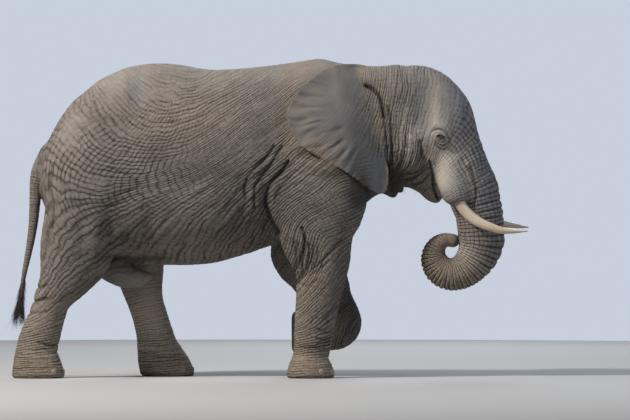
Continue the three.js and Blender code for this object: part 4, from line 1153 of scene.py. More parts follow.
# ------------------------------------------------------------------ finishes
class Value:
    """A node's output that can be added, multiplied and so on like a number."""

    def __init__(self, finish, socket):
        self.finish, self.socket = finish, socket

    def maths(operation, swapped=False):
        """A method that puts the value and the others through a maths node, in this order or not."""
        def method(self, *others):
            inputs = (*others, self) if swapped else (self, *others)
            return self.finish.node("Math", {"operation": operation}, dict(enumerate(inputs)))
        return method

    __add__ = __radd__ = maths("ADD")
    __mul__ = __rmul__ = maths("MULTIPLY")
    __sub__, __rsub__ = maths("SUBTRACT"), maths("SUBTRACT", swapped=True)
    __truediv__, __pow__, __abs__ = maths("DIVIDE"), maths("POWER"), maths("ABSOLUTE")
    at_least, at_most = maths("MAXIMUM"), maths("MINIMUM")

    def held(self):
        """Kept between 0 and 1."""
        return self.at_least(0.0).at_most(1.0)

    def step(self, low, high):
        """0 below low and 1 above high, with a smooth rise between; high may be the lower one."""
        return self.finish.node(
            "MapRange", {"interpolation_type": "SMOOTHSTEP"},
            {"Value": self, "From Min": low, "From Max": high},
        )


class Finish:
    """Builds one material. node() makes any node from its type, settings and socket values."""

    def __init__(self, name):
        self.material = bpy.data.materials.new(name)
        self.material.use_nodes = True
        self.tree = self.material.node_tree
        self.tree.nodes.clear()

    def node(self, kind, settings=None, inputs=None, output=0):
        node = self.tree.nodes.new("ShaderNode" + kind)
        for key, value in (settings or {}).items():
            setattr(node, key, value)
        for key, value in (inputs or {}).items():
            if isinstance(value, Value):
                self.tree.links.new(value.socket, node.inputs[key])
            else:
                node.inputs[key].default_value = value
        return Value(self, node.outputs[output])

    def place(self):
        return self.node("TexCoord", output="Object")

    def mark(self, name, output="Fac"):
        return self.node("Attribute", {"attribute_name": name}, output=output)

    def scaled(self, vector, scale):
        return self.node("VectorMath", {"operation": "MULTIPLY"}, {0: vector, 1: scale})

    def moved(self, vector, by):
        return self.node("VectorMath", {"operation": "ADD"}, {0: vector, 1: by})

    def noise(self, vector, scale=1.0, detail=2.0, rough=0.5, output="Fac"):
        return self.node(
            "TexNoise", {}, {"Vector": vector, "Scale": scale, "Detail": detail, "Roughness": rough},
            output=output,
        )

    def cracks(self, vector, scale=1.0, loose=1.0):
        """Distance to the nearest border between random cells, 0 on the border."""
        return self.node(
            "TexVoronoi", {"feature": "DISTANCE_TO_EDGE"},
            {"Vector": vector, "Scale": scale, "Randomness": loose}, output="Distance",
        )

    def blend(self, factor, a, b):
        """Colour a where the factor, held between 0 and 1, is 0 and b where it is 1."""
        a, b = (part if isinstance(part, Value) else rgb(part) for part in (a, b))
        return self.node("Mix", {"data_type": "RGBA"}, {0: factor, 6: a, 7: b}, output=2)

    def parts(self, vector):
        """The three numbers of a vector."""
        first = self.node("SeparateXYZ", {}, {0: vector})
        node = first.socket.node
        return [Value(self, node.outputs[i]) for i in range(3)]

    def crest(self, phase):
        """1 - |sin(pi phase)|: 1 where the phase is whole."""
        return 1.0 - abs(self.node("Math", {"operation": "SINE"}, {0: phase * math.pi}))

    def bump(self, height, far, strength=1.0):
        return self.node("Bump", {}, {"Height": height, "Distance": far, "Strength": strength})

    def done(self, **inputs):
        surface = self.node("BsdfPrincipled", {}, {k.replace("_", " "): v for k, v in inputs.items()})
        end = self.tree.nodes.new("ShaderNodeOutputMaterial")
        self.tree.links.new(surface.socket, end.inputs["Surface"])
        return self.material


def rgb(colour):
    """A property's colour with full alpha."""
    return (*colour, 1.0)


# Lines in the hide, in metres and powers: spacing, seed, wander and sharpness of the main ones, the
# bolder ones beside them, the ones across them and the slanted ones.
CREASES = (
    (0.026, 3.7, 2.0, 1.6), (0.055, 9.1, 2.4, 3.0), (0.037, 5.3, 2.4, 2.2), (0.062, 7.9, 3.0, 4.5),
)
PAD_SIZE = (0.040, 0.064, 0.064)  # pads between the lines: across, along and sideways
LENGTHWISE = 0.044  # between the lines that run down the trunk
PEBBLES, GRAIN = 74.0, 150.0  # small cells and fine noise to a metre


def hide_finish(look, crack_depth):
    """Hide: near-parallel creases that follow the fold coordinates, broken into pads by shorter
    ones across them, dark in the creases; rings on the trunk; and a colour laid on in turn as dust
    with painted light (paler on upward faces, on sunlit patches and, as a painted highlight, on the
    ear's rim), thick dust with painted light, soil (on the far hind leg also painted light), the grey
    of the ears, soil on the curl, painted shade in bluish grey, creases with painted shade where the
    ear, jaw and legs keep the light off, and eyelids."""
    f = Finish("elephant_hide")
    place, folds = f.place(), f.mark("folds", "Vector")
    wrinkle, crease, ear, trunk = (f.mark(name) for name in ("wrinkle", "crease", "ear", "trunk"))
    curl, tip, lid, rim = (f.mark(name) for name in ("curl", "tip", "lid", "rim"))
    dust, hatch = f.mark("dust"), f.mark("hatch")
    body = 1.0 - trunk
    warp = f.scaled(f.noise(place, 8.0, 2.0, output="Color"), (0.036, 0.036, 0.036))
    bent = f.moved(folds, warp)
    across, along, _ = f.parts(bent)

    def lines(coordinate, spacing, seed, wander, sharp):
        """1 along nearly parallel lines: the crest of the phase to the power sharp, bent by slow
        noise, and gone where another slow noise is low."""
        drift = f.moved(f.scaled(folds, (6.0, 2.2, 2.6)), (seed, seed, seed))
        shift = f.noise(drift, 1.0, 1.0) * wander
        shown = f.noise(f.moved(f.scaled(folds, (11.0, 3.2, 3.2)), (-seed, seed, 0.0)), 1.0, 1.0)
        return f.crest(coordinate / spacing + shift) ** sharp * shown.step(0.27, 0.50)

    counted = (across, across, along, across * 0.62 + along * 0.78)
    main, bolder, cross, slanted = (lines(*row) for row in zip(counted, *zip(*CREASES)))
    pads = f.cracks(f.scaled(bent, tuple(1 / size for size in PAD_SIZE))).step(0.15, 0.0)
    pebbles = f.cracks(place, PEBBLES).step(0.16, 0.0)
    grain = f.noise(place, GRAIN, 3.0, 0.6)
    phase = f.mark("rings") + f.noise(place, 9.0, 1.0) * 0.35
    rings = f.crest(phase) ** 2.2 + f.crest(phase * 2.0) ** 3.0 * curl * 0.7
    lengthwise = f.crest(along / LENGTHWISE + f.noise(place, 6.0, 1.0) * 1.3) ** 3.0

    network = main + bolder * (0.80 - hatch * 0.4) + cross * hatch * 0.95 + slanted * 0.20 + pads * 0.30
    ringed = (rings * (1.0 - tip * 0.7) + lengthwise * (1.0 - curl) * 0.6 + pads * 0.25) * trunk
    cut = network * wrinkle * body + ringed
    height = 0.0 - cut * crack_depth - pebbles * (wrinkle * 0.0012 + 0.0005) + grain * 0.0010
    normal = f.bump(height, 1.0)

    patchy = f.noise(place, 2.1, 4.0, 0.62)
    mottled = f.noise(place, 13.0, 4.0, 0.7)
    # dark: the creases, with the painted shade that the crease mark carries
    dark = (cut * 0.92 + crease * 0.74 + pebbles * wrinkle * 0.12).held()
    uneven = (patchy - 0.5) * 1.1 + (mottled - 0.5) * 0.7
    # pale: dust and painted light from the dust mark, random tone, and a painted highlight on the ear's rim
    pale = dust.held() * 0.55 + 0.12 + uneven + rim * 0.3
    bluish = ear * (0.72 + (f.noise(place, 3.4, 2.0) - 0.5) * 1.2)
    colour = look.hide
    # The bluish grey layer below is painted shade.
    for share, over in (
        (pale, look.dust), ((dust - 1.0) * 0.65, look.thick_dust_and_painted_light), (f.mark("earth"), look.earth),
        (bluish, look.ear), (curl * 0.72, look.earth), (f.mark("shade") * (0.7 - ear * 0.5), look.shade),
        (dark * 0.92, look.crevice_and_painted_shade), (lid, look.lid),
    ):
        colour = f.blend(share.held(), colour, over)
    rough = 0.84 - dark * 0.10 + (mottled - 0.5) * 0.14 - lid * 0.4
    return f.done(Base_Color=colour, Roughness=rough, Normal=normal, Specular_IOR_Level=0.30)


def ivory_finish(look):
    """Ivory: faint grain and thin cracks lengthwise, brown stain near the lip and in the cracks."""
    f = Finish("elephant_ivory")
    along = f.mark("length")
    place = f.place()
    lengthwise = f.mark("grain", "Vector")
    grain = f.noise(f.scaled(lengthwise, (60.0, 60.0, 3.0)), 1.0, 4.0, 0.6)
    cracks = abs(f.noise(f.scaled(lengthwise, (34.0, 34.0, 0.9)), 1.0, 1.0) - 0.5).step(0.022, 0.0)
    stain = (along.step(0.34, 0.0) * f.noise(place, 18.0, 4.0, 0.65) * 1.4).held()
    base = f.blend(f.noise(place, 7.0, 3.0), look.ivory, look.ivory_warm)
    brown = (cracks * 0.28 + stain * 0.9 + (grain - 0.5) * 0.4).held()
    base = f.blend(brown, base, look.ivory_stain)
    normal = f.bump(grain * 0.0006 - cracks * 0.0012, 1.0)
    return f.done(Base_Color=base, Roughness=0.42 + stain * 0.3, Normal=normal, Specular_IOR_Level=0.45)


def nail_finish(look):
    """Nails: horn in thin layers, pale and dark in turn, with soil on it in patches."""
    f = Finish("elephant_nail")
    place = f.place()
    layers = f.noise(f.scaled(place, (22.0, 22.0, 95.0)), 1.0, 3.0, 0.6)
    soil = f.noise(place, 30.0, 4.0, 0.7)
    base = f.blend(layers, look.nail, look.nail_pale)
    base = f.blend(soil.step(0.5, 0.75) * 0.7, base, look.earth)
    normal = f.bump(layers * 0.0016 + soil * 0.001, 1.0)
    return f.done(Base_Color=base, Roughness=0.62 + soil * 0.2, Normal=normal)


PUPIL = (0.004, 0.003, 0.003)


def eye_finish(look):
    """Eyeball: a dark pupil in an amber-brown iris with rays, within a brownish white, all wet.
    The marks give the angle from the middle of the pupil."""
    f = Finish("elephant_eye")
    out = f.mark("from_pole")
    rays = f.noise(f.scaled(f.mark("spread", "Vector"), (7.0, 7.0, 3.0)), 1.0, 3.0)
    iris = f.blend(rays, look.iris, look.iris_dark)
    iris = f.blend(out.step(0.38, 0.46), iris, look.iris_dark)
    colour = f.blend(out.step(0.20, 0.17), iris, PUPIL)
    colour = f.blend(out.step(0.46, 0.52), colour, look.eye_white)
    return f.done(Base_Color=colour, Roughness=0.08, Coat_Weight=1.0, Coat_Roughness=0.03)


def hair_finish(look):
    """Hair: black-brown, a little paler where dust lies on it."""
    f = Finish("elephant_hair")
    worn = f.noise(f.place(), 24.0, 3.0)
    colour = f.blend(worn.step(0.45, 0.8), look.hair, look.hair_pale)
    return f.done(Base_Color=colour, Roughness=0.55 + worn * 0.2)


def plain_finish(name, colour, roughness):
    """One matt colour with a trace of unevenness, for the floor."""
    f = Finish(name)
    shade = f.blend(f.noise(f.place(), 0.8, 2.0) * 0.25, colour, [0.94 * part for part in colour])
    return f.done(Base_Color=shade, Roughness=roughness, Specular_IOR_Level=0.2)


# ------------------------------------------------------------------ sizes and colours to change
def size_of(name, description, default, low, high):
    """A length that a user may change."""
    return FloatProperty(
        name=name, description=description, default=default, min=low, max=high, precision=4, unit="LENGTH"
    )


def colour_of(name, description, default):
    """A colour that a user may change."""
    return FloatVectorProperty(
        name=name, description=description, default=default, size=3, min=0, max=1, subtype="COLOR"
    )


def count_of(name, description, default, low, high):
    """A number of things that a user may change."""
    return IntProperty(
        name=name, description=description, default=default, min=low, max=high, subtype="UNSIGNED"
    )


class ElephantSizes(bpy.types.PropertyGroup):
    """Sizes of the finer forms."""

    skin_cell: size_of("Skin grid", "Spacing of the grid that the skin is drawn on", 0.012, 0.008, 0.03)
    skin_faces: count_of("Skin triangles", "Triangles left in the skin", 197000, 20000, 198000)
    fold_depth: size_of("Fold depth", "Depth of the deepest folds", 0.011, 0.0, 0.03)
    ring_depth: size_of("Ring depth", "Depth of the trunk's rings", 0.013, 0.0, 0.03)
    crack_depth: size_of("Crack depth", "Depth of the fine cracks in the hide", 0.0085, 0.0, 0.02)
    hair_long: size_of("Tail hair", "Length of the longest hairs of the tail", 0.32, 0.1, 0.6)
    hair_thick: size_of("Hair thickness", "Thickness of a tail hair at its root", 0.0034, 0.001, 0.01)
    tail_hairs: count_of("Tail hairs", "Hairs in the tail's tuft", 900, 20, 2000)
    lashes: count_of("Eyelashes", "Lashes over each eye", 30, 4, 80)
    bristles: count_of("Bristles", "Bristles on the chin, trunk and head", 900, 0, 4000)


class ElephantLook(bpy.types.PropertyGroup):
    """Colours of the hide, tusks, nails, eyes and hair."""

    hide: colour_of("Hide", "Bare grey-brown hide", (0.150, 0.129, 0.110))
    # Dust, also laid as painted light on upward faces, on sunlit patches and on the ear's rim
    dust: colour_of("Dust", "Dry dust on ridges and upper sides", (0.330, 0.290, 0.255))
    # Thick dust, and painted light where the sun falls brightest on the sheath, cheek and far hind leg
    thick_dust_and_painted_light: colour_of("Thick dust", "Pale dust where it lies thickest", (0.62, 0.550, 0.465))
    earth: colour_of("Earth", "Brown soil on the trunk, feet and flanks", (0.340, 0.262, 0.180))
    ear: colour_of("Ear", "Bluish grey of the ears", (0.104, 0.100, 0.101))
    # Painted shade: the bluish grey laid where hide is turned from the light
    shade: colour_of("Grey hide", "Bluish grey of the front of the face and trunk", (0.185, 0.190, 0.212))
    # Dark of the creases, also laid as painted shade where the ear, jaw and legs keep the light off
    crevice_and_painted_shade: colour_of("Crevice", "Dark of the creases", (0.030, 0.024, 0.020))
    lid: colour_of("Eyelid", "Moist dark rim of the eye", (0.035, 0.024, 0.020))
    ivory: colour_of("Ivory", "Weathered ivory", (0.62, 0.52, 0.40))
    ivory_warm: colour_of("Warm ivory", "Yellower ivory", (0.50, 0.38, 0.26))
    ivory_stain: colour_of("Ivory stain", "Brown in the ivory's cracks and near the lip", (0.17, 0.11, 0.07))
    nail: colour_of("Nail", "Horn of the nails", (0.24, 0.19, 0.145))
    nail_pale: colour_of("Worn nail", "Paler layers of the nails", (0.34, 0.285, 0.22))
    iris: colour_of("Iris", "Light part of the iris", (0.15, 0.07, 0.026))
    iris_dark: colour_of("Iris edge", "Dark part of the iris", (0.045, 0.020, 0.008))
    eye_white: colour_of("White of the eye", "Brownish white round the iris", (0.13, 0.085, 0.06))
    hair: colour_of("Hair", "Black-brown hair", (0.022, 0.018, 0.015))
    hair_pale: colour_of("Dusty hair", "Hair with dust on it", (0.11, 0.095, 0.08))


class ElephantStage(bpy.types.PropertyGroup):
    """The floor's colour and the camera's place."""

    floor: colour_of("Floor", "Floor under the animal", (0.42, 0.41, 0.40))
    distance: size_of("Camera distance", "From the camera to the animal", 80.0, 10.0, 200.0)
    height: size_of("Camera height", "Height of the camera above the floor", 2.5, 0.2, 20.0)


# ------------------------------------------------------------------ pieces
def placed(name, data):
    """An object with this data in the scene."""
    thing = bpy.data.objects.new(name, data)
    bpy.context.scene.collection.objects.link(thing)
    return thing


def mesh_of(name, places, faces, marks=None):
    """An object at the origin from corners and faces that all have as many corners, shaded smooth,
    with one attribute for each mark: a number or three for each corner."""
    mesh = bpy.data.meshes.new(name)
    count, sides = faces.shape
    mesh.vertices.add(len(places))
    mesh.vertices.foreach_set("co", np.ascontiguousarray(places, np.float32).ravel())
    mesh.loops.add(count * sides)
    mesh.loops.foreach_set("vertex_index", np.ascontiguousarray(faces, np.int32).ravel())
    mesh.polygons.add(count)
    mesh.polygons.foreach_set("loop_start", np.arange(0, count * sides, sides, dtype=np.int32))
    mesh.polygons.foreach_set("use_smooth", np.ones(count, bool))
    for mark, values in (marks or {}).items():
        kind, field = ("FLOAT_VECTOR", "vector") if np.ndim(values) == 2 else ("FLOAT", "value")
        layer = mesh.attributes.new(mark, kind, "POINT")
        layer.data.foreach_set(field, np.ascontiguousarray(values, np.float32).ravel())
    mesh.update(calc_edges=True)
    mesh.validate()
    return placed(name, mesh)


def dress(piece, finish, slot, *nodes):
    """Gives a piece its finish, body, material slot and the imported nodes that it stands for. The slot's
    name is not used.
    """
    piece.data.materials.append(finish)
    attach(piece, BODY)
    if nodes:
        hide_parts(*nodes)


def closed_grid(rows, around):
    """Faces of a tube of `rows` rings of `around` corners, with one pole corner after the rings at
    either end; they point outwards where the rings run anticlockwise seen from beyond their end.
    Poles are closed with four-sided faces that repeat the pole, so the count round is even."""
    ring, step = np.arange(around), np.arange(rows - 1)[:, None] * around
    after = (ring + 1) % around
    side = np.stack([step + ring, step + after, step + around + after, step + around + ring], -1)
    start, end = rows * around, rows * around + 1
    last = (rows - 1) * around
    half = np.arange(0, around, 2)
    low = np.stack([0 * half + start, (half + 2) % around, half + 1, half], 1)
    high = np.stack([0 * half + end, last + half, last + half + 1, last + (half + 2) % around], 1)
    return np.concatenate([side.reshape(-1, 4), low, high])


def smaller(piece, triangles):
    """Replaces a piece's mesh by one with fewer triangles that keeps its form, its marks mixed."""
    piece.data.calc_loop_triangles()
    thin = piece.modifiers.new("fewer faces", "DECIMATE")
    thin.ratio = triangles / len(piece.data.loop_triangles)
    thin.use_collapse_triangulate = True
    done = bpy.data.meshes.new_from_object(piece.evaluated_get(bpy.context.evaluated_depsgraph_get()))
    old, piece.data = piece.data, done
    piece.modifiers.clear()
    done.name = piece.name
    bpy.data.meshes.remove(old)


# ------------------------------------------------------------------ the skin
COARSE_CELL, MIDDLE_RATIO, COARSE_NEAR = 0.096, 4, 0.12
FINE_NEAR = 0.030
GRID_MARGIN = 0.10
FINE_EYES = ((0.135, 1), (0.085, 1))  # radius round each eye in which faces are cut in four
FLESH = ("body", "hind_quarters", "neck", "head", "jaw", "groin_sheath")
TRUNK_NODES = ("trunk_upper", "trunk_middle", "trunk_curl", "trunk_tip")
TAIL_NODES = ("tail_root", "tail_middle", "tail_end")
EAR_NODES = ("ear_right", "ear_left")
LEG_NODES = tuple(f"{part}_{foot}" for foot in FEET for part in ("upper_leg", "lower_leg", "foot"))


def bare_skin(cell):
    """Corners and four-sided faces of the flesh's surface, from grids that get finer near it."""
    low, high = np.array(CAD_BOX[0]) - ORIGIN - GRID_MARGIN, np.array(CAD_BOX[1]) - ORIGIN + GRID_MARGIN
    shape = np.ceil((high - low) / COARSE_CELL).astype(int) + 1
    coarse = low + np.indices(shape).reshape(3, -1).T * COARSE_CELL
    coarse = in_pieces(flesh, coarse).reshape(shape)
    middle_cell = COARSE_CELL / MIDDLE_RATIO
    middle = refined(coarse, low, middle_cell, MIDDLE_RATIO, COARSE_NEAR)
    ratio = max(1, round(middle_cell / cell))
    fine = refined(middle, low, middle_cell / ratio, ratio, FINE_NEAR) if ratio > 1 else middle
    return surface_nets(fine, low, middle_cell / ratio)


def eye_places():
    """Own places of the middles of the eyes' sockets on the head."""
    return [centre(f"eye_{side}") - ORIGIN for side in SIDES]


def finer_near_eyes(places, quads):
    """Cuts the faces near the eyes into smaller ones and moves the corners there onto the flesh."""
    mesh = bmesh.new()
    holder = bpy.data.meshes.new("skin in work")
    holder.from_pydata(places.tolist(), [], quads.tolist())
    mesh.from_mesh(holder)
    eyes = eye_places()
    for radius, cuts in FINE_EYES:
        mesh.faces.ensure_lookup_table()
        close = [
            face for face in mesh.faces
            if min(np.linalg.norm(np.array(face.calc_center_median()) - eye) for eye in eyes) < radius
        ]
        edges = {edge for face in close for edge in face.edges}
        bmesh.ops.subdivide_edges(mesh, edges=list(edges), cuts=cuts, use_grid_fill=True)
    bmesh.ops.triangulate(mesh, faces=list(mesh.faces))
    mesh.to_mesh(holder)
    mesh.free()
    count, sides = len(holder.vertices), len(holder.polygons) * 3
    corners, faces = np.empty(count * 3), np.empty(sides, np.int32)
    holder.vertices.foreach_get("co", corners)
    holder.loops.foreach_get("vertex_index", faces)
    bpy.data.meshes.remove(holder)
    corners = corners.reshape(-1, 3)
    near = np.min([np.linalg.norm(corners - eye, axis=1) for eye in eyes], axis=0) < FINE_EYES[0][0]
    corners[near] = onto_flesh(corners[near])
    return corners, faces.reshape(-1, 3)


class ELEPHANT_OT_skin(bpy.types.Operator):
    """One closed skin round the flesh: folds, cracks, eyelids, ear ribs and trunk rings"""

    bl_idname = "elephant.skin"
    bl_label = "Skin"

    def execute(self, context):
        sizes, look = context.scene.elephant_sizes, context.scene.elephant_look
        places, faces = finer_near_eyes(*bare_skin(sizes.skin_cell))
        done, folds, marks = worked(places, normals_of(places, faces), sizes)
        skin = mesh_of("skin", done + ORIGIN, faces, {"folds": folds, **marks})
        smaller(skin, sizes.skin_faces)
        nodes = FLESH + TRUNK_NODES + TAIL_NODES + EAR_NODES + LEG_NODES
        dress(skin, hide_finish(look, sizes.crack_depth), "hide", *nodes)
        return {"FINISHED"}


# ------------------------------------------------------------------ eyes, tusks and nails
EYE_LOOK = np.array((0.22, 1.0, -0.10))  # which way an eye faces: forward, out, up
EYE_GRID = (30, 48)  # rings of an eyeball and corners in each
TUSK_RINGS, TUSK_AROUND = 12, 48
TUSK_BLUNT, TUSK_LEAST = 0.02, 0.009  # length of the rounded tip, least radius before it
NAIL_GRID = (15, 13)
NAIL_PROUD, NAIL_SUNK = 0.0085, 0.012
NAIL_SIZE = (0.080, 0.062)
NAIL_ROUND, NAIL_CURL = 0.34, 0.012  # how round its outline is, how far its sides bend back
NAIL_COUNT = {"front_right": 4, "front_left": 4, "hind_right": 3, "hind_left": 3}


def frame_along(forward):
    """The direction made one long, and two more that are square to it and to each other."""
    forward = unit(forward)
    across = unit(np.cross((0, 0, 1), forward))
    return forward, across, np.cross(forward, across)


class ELEPHANT_OT_eyes(bpy.types.Operator):
    """Both eyeballs: spheres with the iris round the pole that faces outwards and forwards"""

    bl_idname = "elephant.eyes"
    bl_label = "Eyes"

    def execute(self, context):
        finish = eye_finish(context.scene.elephant_look)
        rows, around = EYE_GRID
        for name, side in SIDES.items():
            low, high = box(f"eye_{name}")
            middle, radius = (low + high) / 2, (high - low).min() / 2
            forward, across, up = frame_along(EYE_LOOK * (1, side, 1))
            out = np.linspace(0, math.pi, rows + 2)[1:-1][::-1]
            out, turn = (part.ravel() for part in np.meshgrid(out, turns(around), indexing="ij"))
            out, turn = np.append(out, [math.pi, 0]), np.append(turn, [0, 0])
            ball = ring_of(out, forward, ring_of(turn, across, up))
            marks = {"from_pole": out, "spread": np.stack([np.cos(turn), np.sin(turn), out], 1)}
            eye = mesh_of(f"eyeball_{name}", middle + radius * ball, closed_grid(rows, around), marks)
            dress(eye, finish, "eye", f"eye_{name}")
        return {"FINISHED"}


class ELEPHANT_OT_tusks(bpy.types.Operator):
    """Both tusks: round sections along a curved path, slightly worn and uneven, with a blunt tip"""

    bl_idname = "elephant.tusks"
    bl_label = "Tusks"

    def execute(self, context):
        finish = ivory_finish(context.scene.elephant_look)
        for name, side in SIDES.items():
            path = sampled(TUSK_LEFT if side == LEFT else mirrored(TUSK), TUSK_RINGS)
            line, thick = path[:, :3], path[:, 3]
            along = unit(np.gradient(line, axis=0))
            across = unit(np.cross(along, (0, 0, 1)))
            up = np.cross(across, along)
            far = np.concatenate([[0], np.cumsum(np.linalg.norm(np.diff(line, axis=0), axis=1))])
            blunt = np.sqrt(np.clip((far[-1] - far) / TUSK_BLUNT, 0.02, 1))
            thick = np.maximum(thick, TUSK_LEAST) * blunt
            turn = turns(TUSK_AROUND)
            wave = 1 + 0.018 * np.sin(3 * turn[None, :] + far[:, None] * 7)
            ring = ring_of(turn, across[:, None], up[:, None])
            places = line[:, None] + ring * (thick[:, None] * wave)[:, :, None]
            ends = [line[0] - along[0] * 0.01, line[-1] + along[-1] * 0.002]
            places = np.concatenate([places.reshape(-1, 3), ends])
            length = np.append(np.repeat(far / far[-1], TUSK_AROUND), [0, 1])
            metres = np.append(np.repeat(far, TUSK_AROUND), [0, far[-1]])
            round_it = np.append(np.tile(turn, len(far)), [0, 0])
            width = np.append(np.repeat(thick, TUSK_AROUND), [0, 0])
            grain = np.stack([np.cos(round_it) * width, np.sin(round_it) * width, metres], 1)
            tusk = mesh_of(
                f"ivory_{name}", places + ORIGIN, closed_grid(len(far), TUSK_AROUND),
                {"length": length, "grain": grain},
            )
            dress(tusk, finish, "ivory", f"tusk_{name}")
        return {"FINISHED"}


def nail_plate(middle, outward, up):
    """A nail: a plate over (u, v) from -1 to 1, its corners pulled in, domed as the 0.4th power of
    (1 - u^4)(1 - v^4), its sides bent back by NAIL_CURL u squared, and closed behind by the same
    grid sunk into the foot."""
    across = np.cross(up, outward)
    u, v = np.meshgrid(np.linspace(-1, 1, NAIL_GRID[0]), np.linspace(-1, 1, NAIL_GRID[1]), indexing="ij")
    round_u, round_v = u * np.sqrt(1 - v * v * NAIL_ROUND), v * np.sqrt(1 - u * u * NAIL_ROUND)
    dome = (1 - u**4) * (1 - v**4)
    wide, tall = NAIL_SIZE
    flat = round_u[..., None] * across * wide / 2 + round_v[..., None] * up * tall / 2
    curl = -NAIL_CURL * u * u
    front = flat + ((NAIL_PROUD + NAIL_SUNK) * dome**0.4 - NAIL_SUNK + curl)[..., None] * outward
    back = flat * 0.98 + (curl - NAIL_SUNK - 0.002)[..., None] * outward
    rows, cols = NAIL_GRID
    index = np.arange(rows * cols).reshape(rows, cols)
    quads = np.stack([index[:-1, :-1], index[1:, :-1], index[1:, 1:], index[:-1, 1:]], -1).reshape(-1, 4)
    rim = np.concatenate([index[:, 0], index[-1, 1:], index[-2::-1, -1], index[0, -2:0:-1]])
    behind = quads[:, ::-1] + rows * cols
    after = np.roll(rim, -1)
    wall = np.stack([after, rim, rim + rows * cols, after + rows * cols], 1)
    return np.concatenate([front.reshape(-1, 3), back.reshape(-1, 3)]) + middle, np.concatenate(
        [quads, behind, wall]
    )


def foot_middle(foot):
    """A foot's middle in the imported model, with the direction from its sole up the leg."""
    rows = {
        "front_right": FORELEG_RIGHT, "hind_right": HINDLEG_RIGHT, "hind_left": HINDLEG_LEFT,
        "front_left": FORELEG_LEFT,
    }[foot]
    up = (1, 0, 0) if foot == "front_left" else (0, 0, 1)
    return np.array(rows[-2][:3]) + ORIGIN, np.array(up, float)


class ELEPHANT_OT_nails(bpy.types.Operator):
    """Nails: four on each forefoot and three on each hind foot, each a domed plate"""

    bl_idname = "elephant.nails"
    bl_label = "Nails"

    def execute(self, context):
        finish = nail_finish(context.scene.elephant_look)
        for foot in FEET:
            middle, up = foot_middle(foot)
            places, faces, nodes, count = [], [], [], 0
            for number in range(1, NAIL_COUNT[foot] + 1):
                node = f"nail_{foot}_{number}"
                at = centre(node)
                outward = at - middle
                outward = unit(outward - outward @ up * up)
                corners, quads = nail_plate(at, outward, up)
                places.append(corners)
                faces.append(quads + count)
                nodes.append(node)
                count += len(corners)
            nails = mesh_of(f"nails_{foot}", np.concatenate(places), np.concatenate(faces))
            dress(nails, finish, "nail", *nodes)
        return {"FINISHED"}


# ------------------------------------------------------------------ hair
HAIR_STEPS = 7
HAIR_ASIDE = (0.31, 0.87, 0.38)  # sets how the hairs' sections are turned
HAIR_PATCH = 0.003  # size of a hair's patch in the map
TUFT_BELOW = 1.02  # own height under which the tail has hairs
LASH_THICK, BRISTLE_THICK = 0.0009, 0.0010
# Patches with bristles: x and z, and their spread, under the chin, on the trunk and on the crown.
BRISTLY = [((1.55, 1.86), (0.12, 0.05)), ((2.08, 1.95), (0.14, 0.26)), ((1.50, 3.08), (0.28, 0.05))]


def hairs(name, paths, thick, spots):
    """Hairs as thin three-sided tubes: each follows its path and tapers as sqrt(1 - t). Each has a
    small patch of its own in the map OFBake, at the spot given for it."""
    count, steps = paths.shape[:2]
    along = unit(np.gradient(paths, axis=1))
    side = unit(np.cross(along, HAIR_ASIDE))
    other = np.cross(along, side)
    t = np.linspace(0, 1, steps)
    taper = (thick[:, None] / 2 * np.sqrt(1.02 - t))[:, :, None, None]
    ring = ring_of(turns(3), side[:, :, None], other[:, :, None])
    corners = (paths[:, :, None] + taper * ring).reshape(-1, 3)
    base = (np.arange(count)[:, None, None] * steps + np.arange(steps - 1)[:, None]) * 3
    k = np.arange(3)
    after = (k + 1) % 3
    wall = np.stack([base + k, base + after, base + 3 + after, base + 3 + k], -1).reshape(-1, 4)
    split = np.concatenate([wall[:, [0, 1, 2]], wall[:, [0, 2, 3]]])
    first = np.arange(count)[:, None] * steps * 3
    root_cap, tip_cap = first + [0, 2, 1], first + (steps - 1) * 3 + [0, 1, 2]
    faces = np.concatenate([split, root_cap, tip_cap])
    piece = mesh_of(name, corners + ORIGIN, faces)
    shift = np.stack([np.tile(np.repeat(t, 3), count), np.tile(k / 2, count * steps)], 1) - 0.5
    patch = HAIR_PATCH * shift + np.repeat(spots, steps * 3, axis=0)
    layer = piece.data.uv_layers.new(name="OFBake")
    layer.uv.foreach_set("vector", patch[faces.ravel()].astype(np.float32).ravel())
    return piece


def drooping(roots, way, long, droop, rng, loose=0.12):
    """Paths that start along `way` and bend down: root + way L t + down droop L t squared, with a
    little random sway that grows with t squared."""
    t = np.linspace(0, 1, HAIR_STEPS)[None, :, None]
    sway = rng.normal(0, loose, (len(roots), 1, 3)) * long[:, None, None]
    bend = np.array([0, 0, -1.0]) * (droop * long)[:, None, None]
    return roots[:, None] + way[:, None] * long[:, None, None] * t + (sway + bend) * t * t


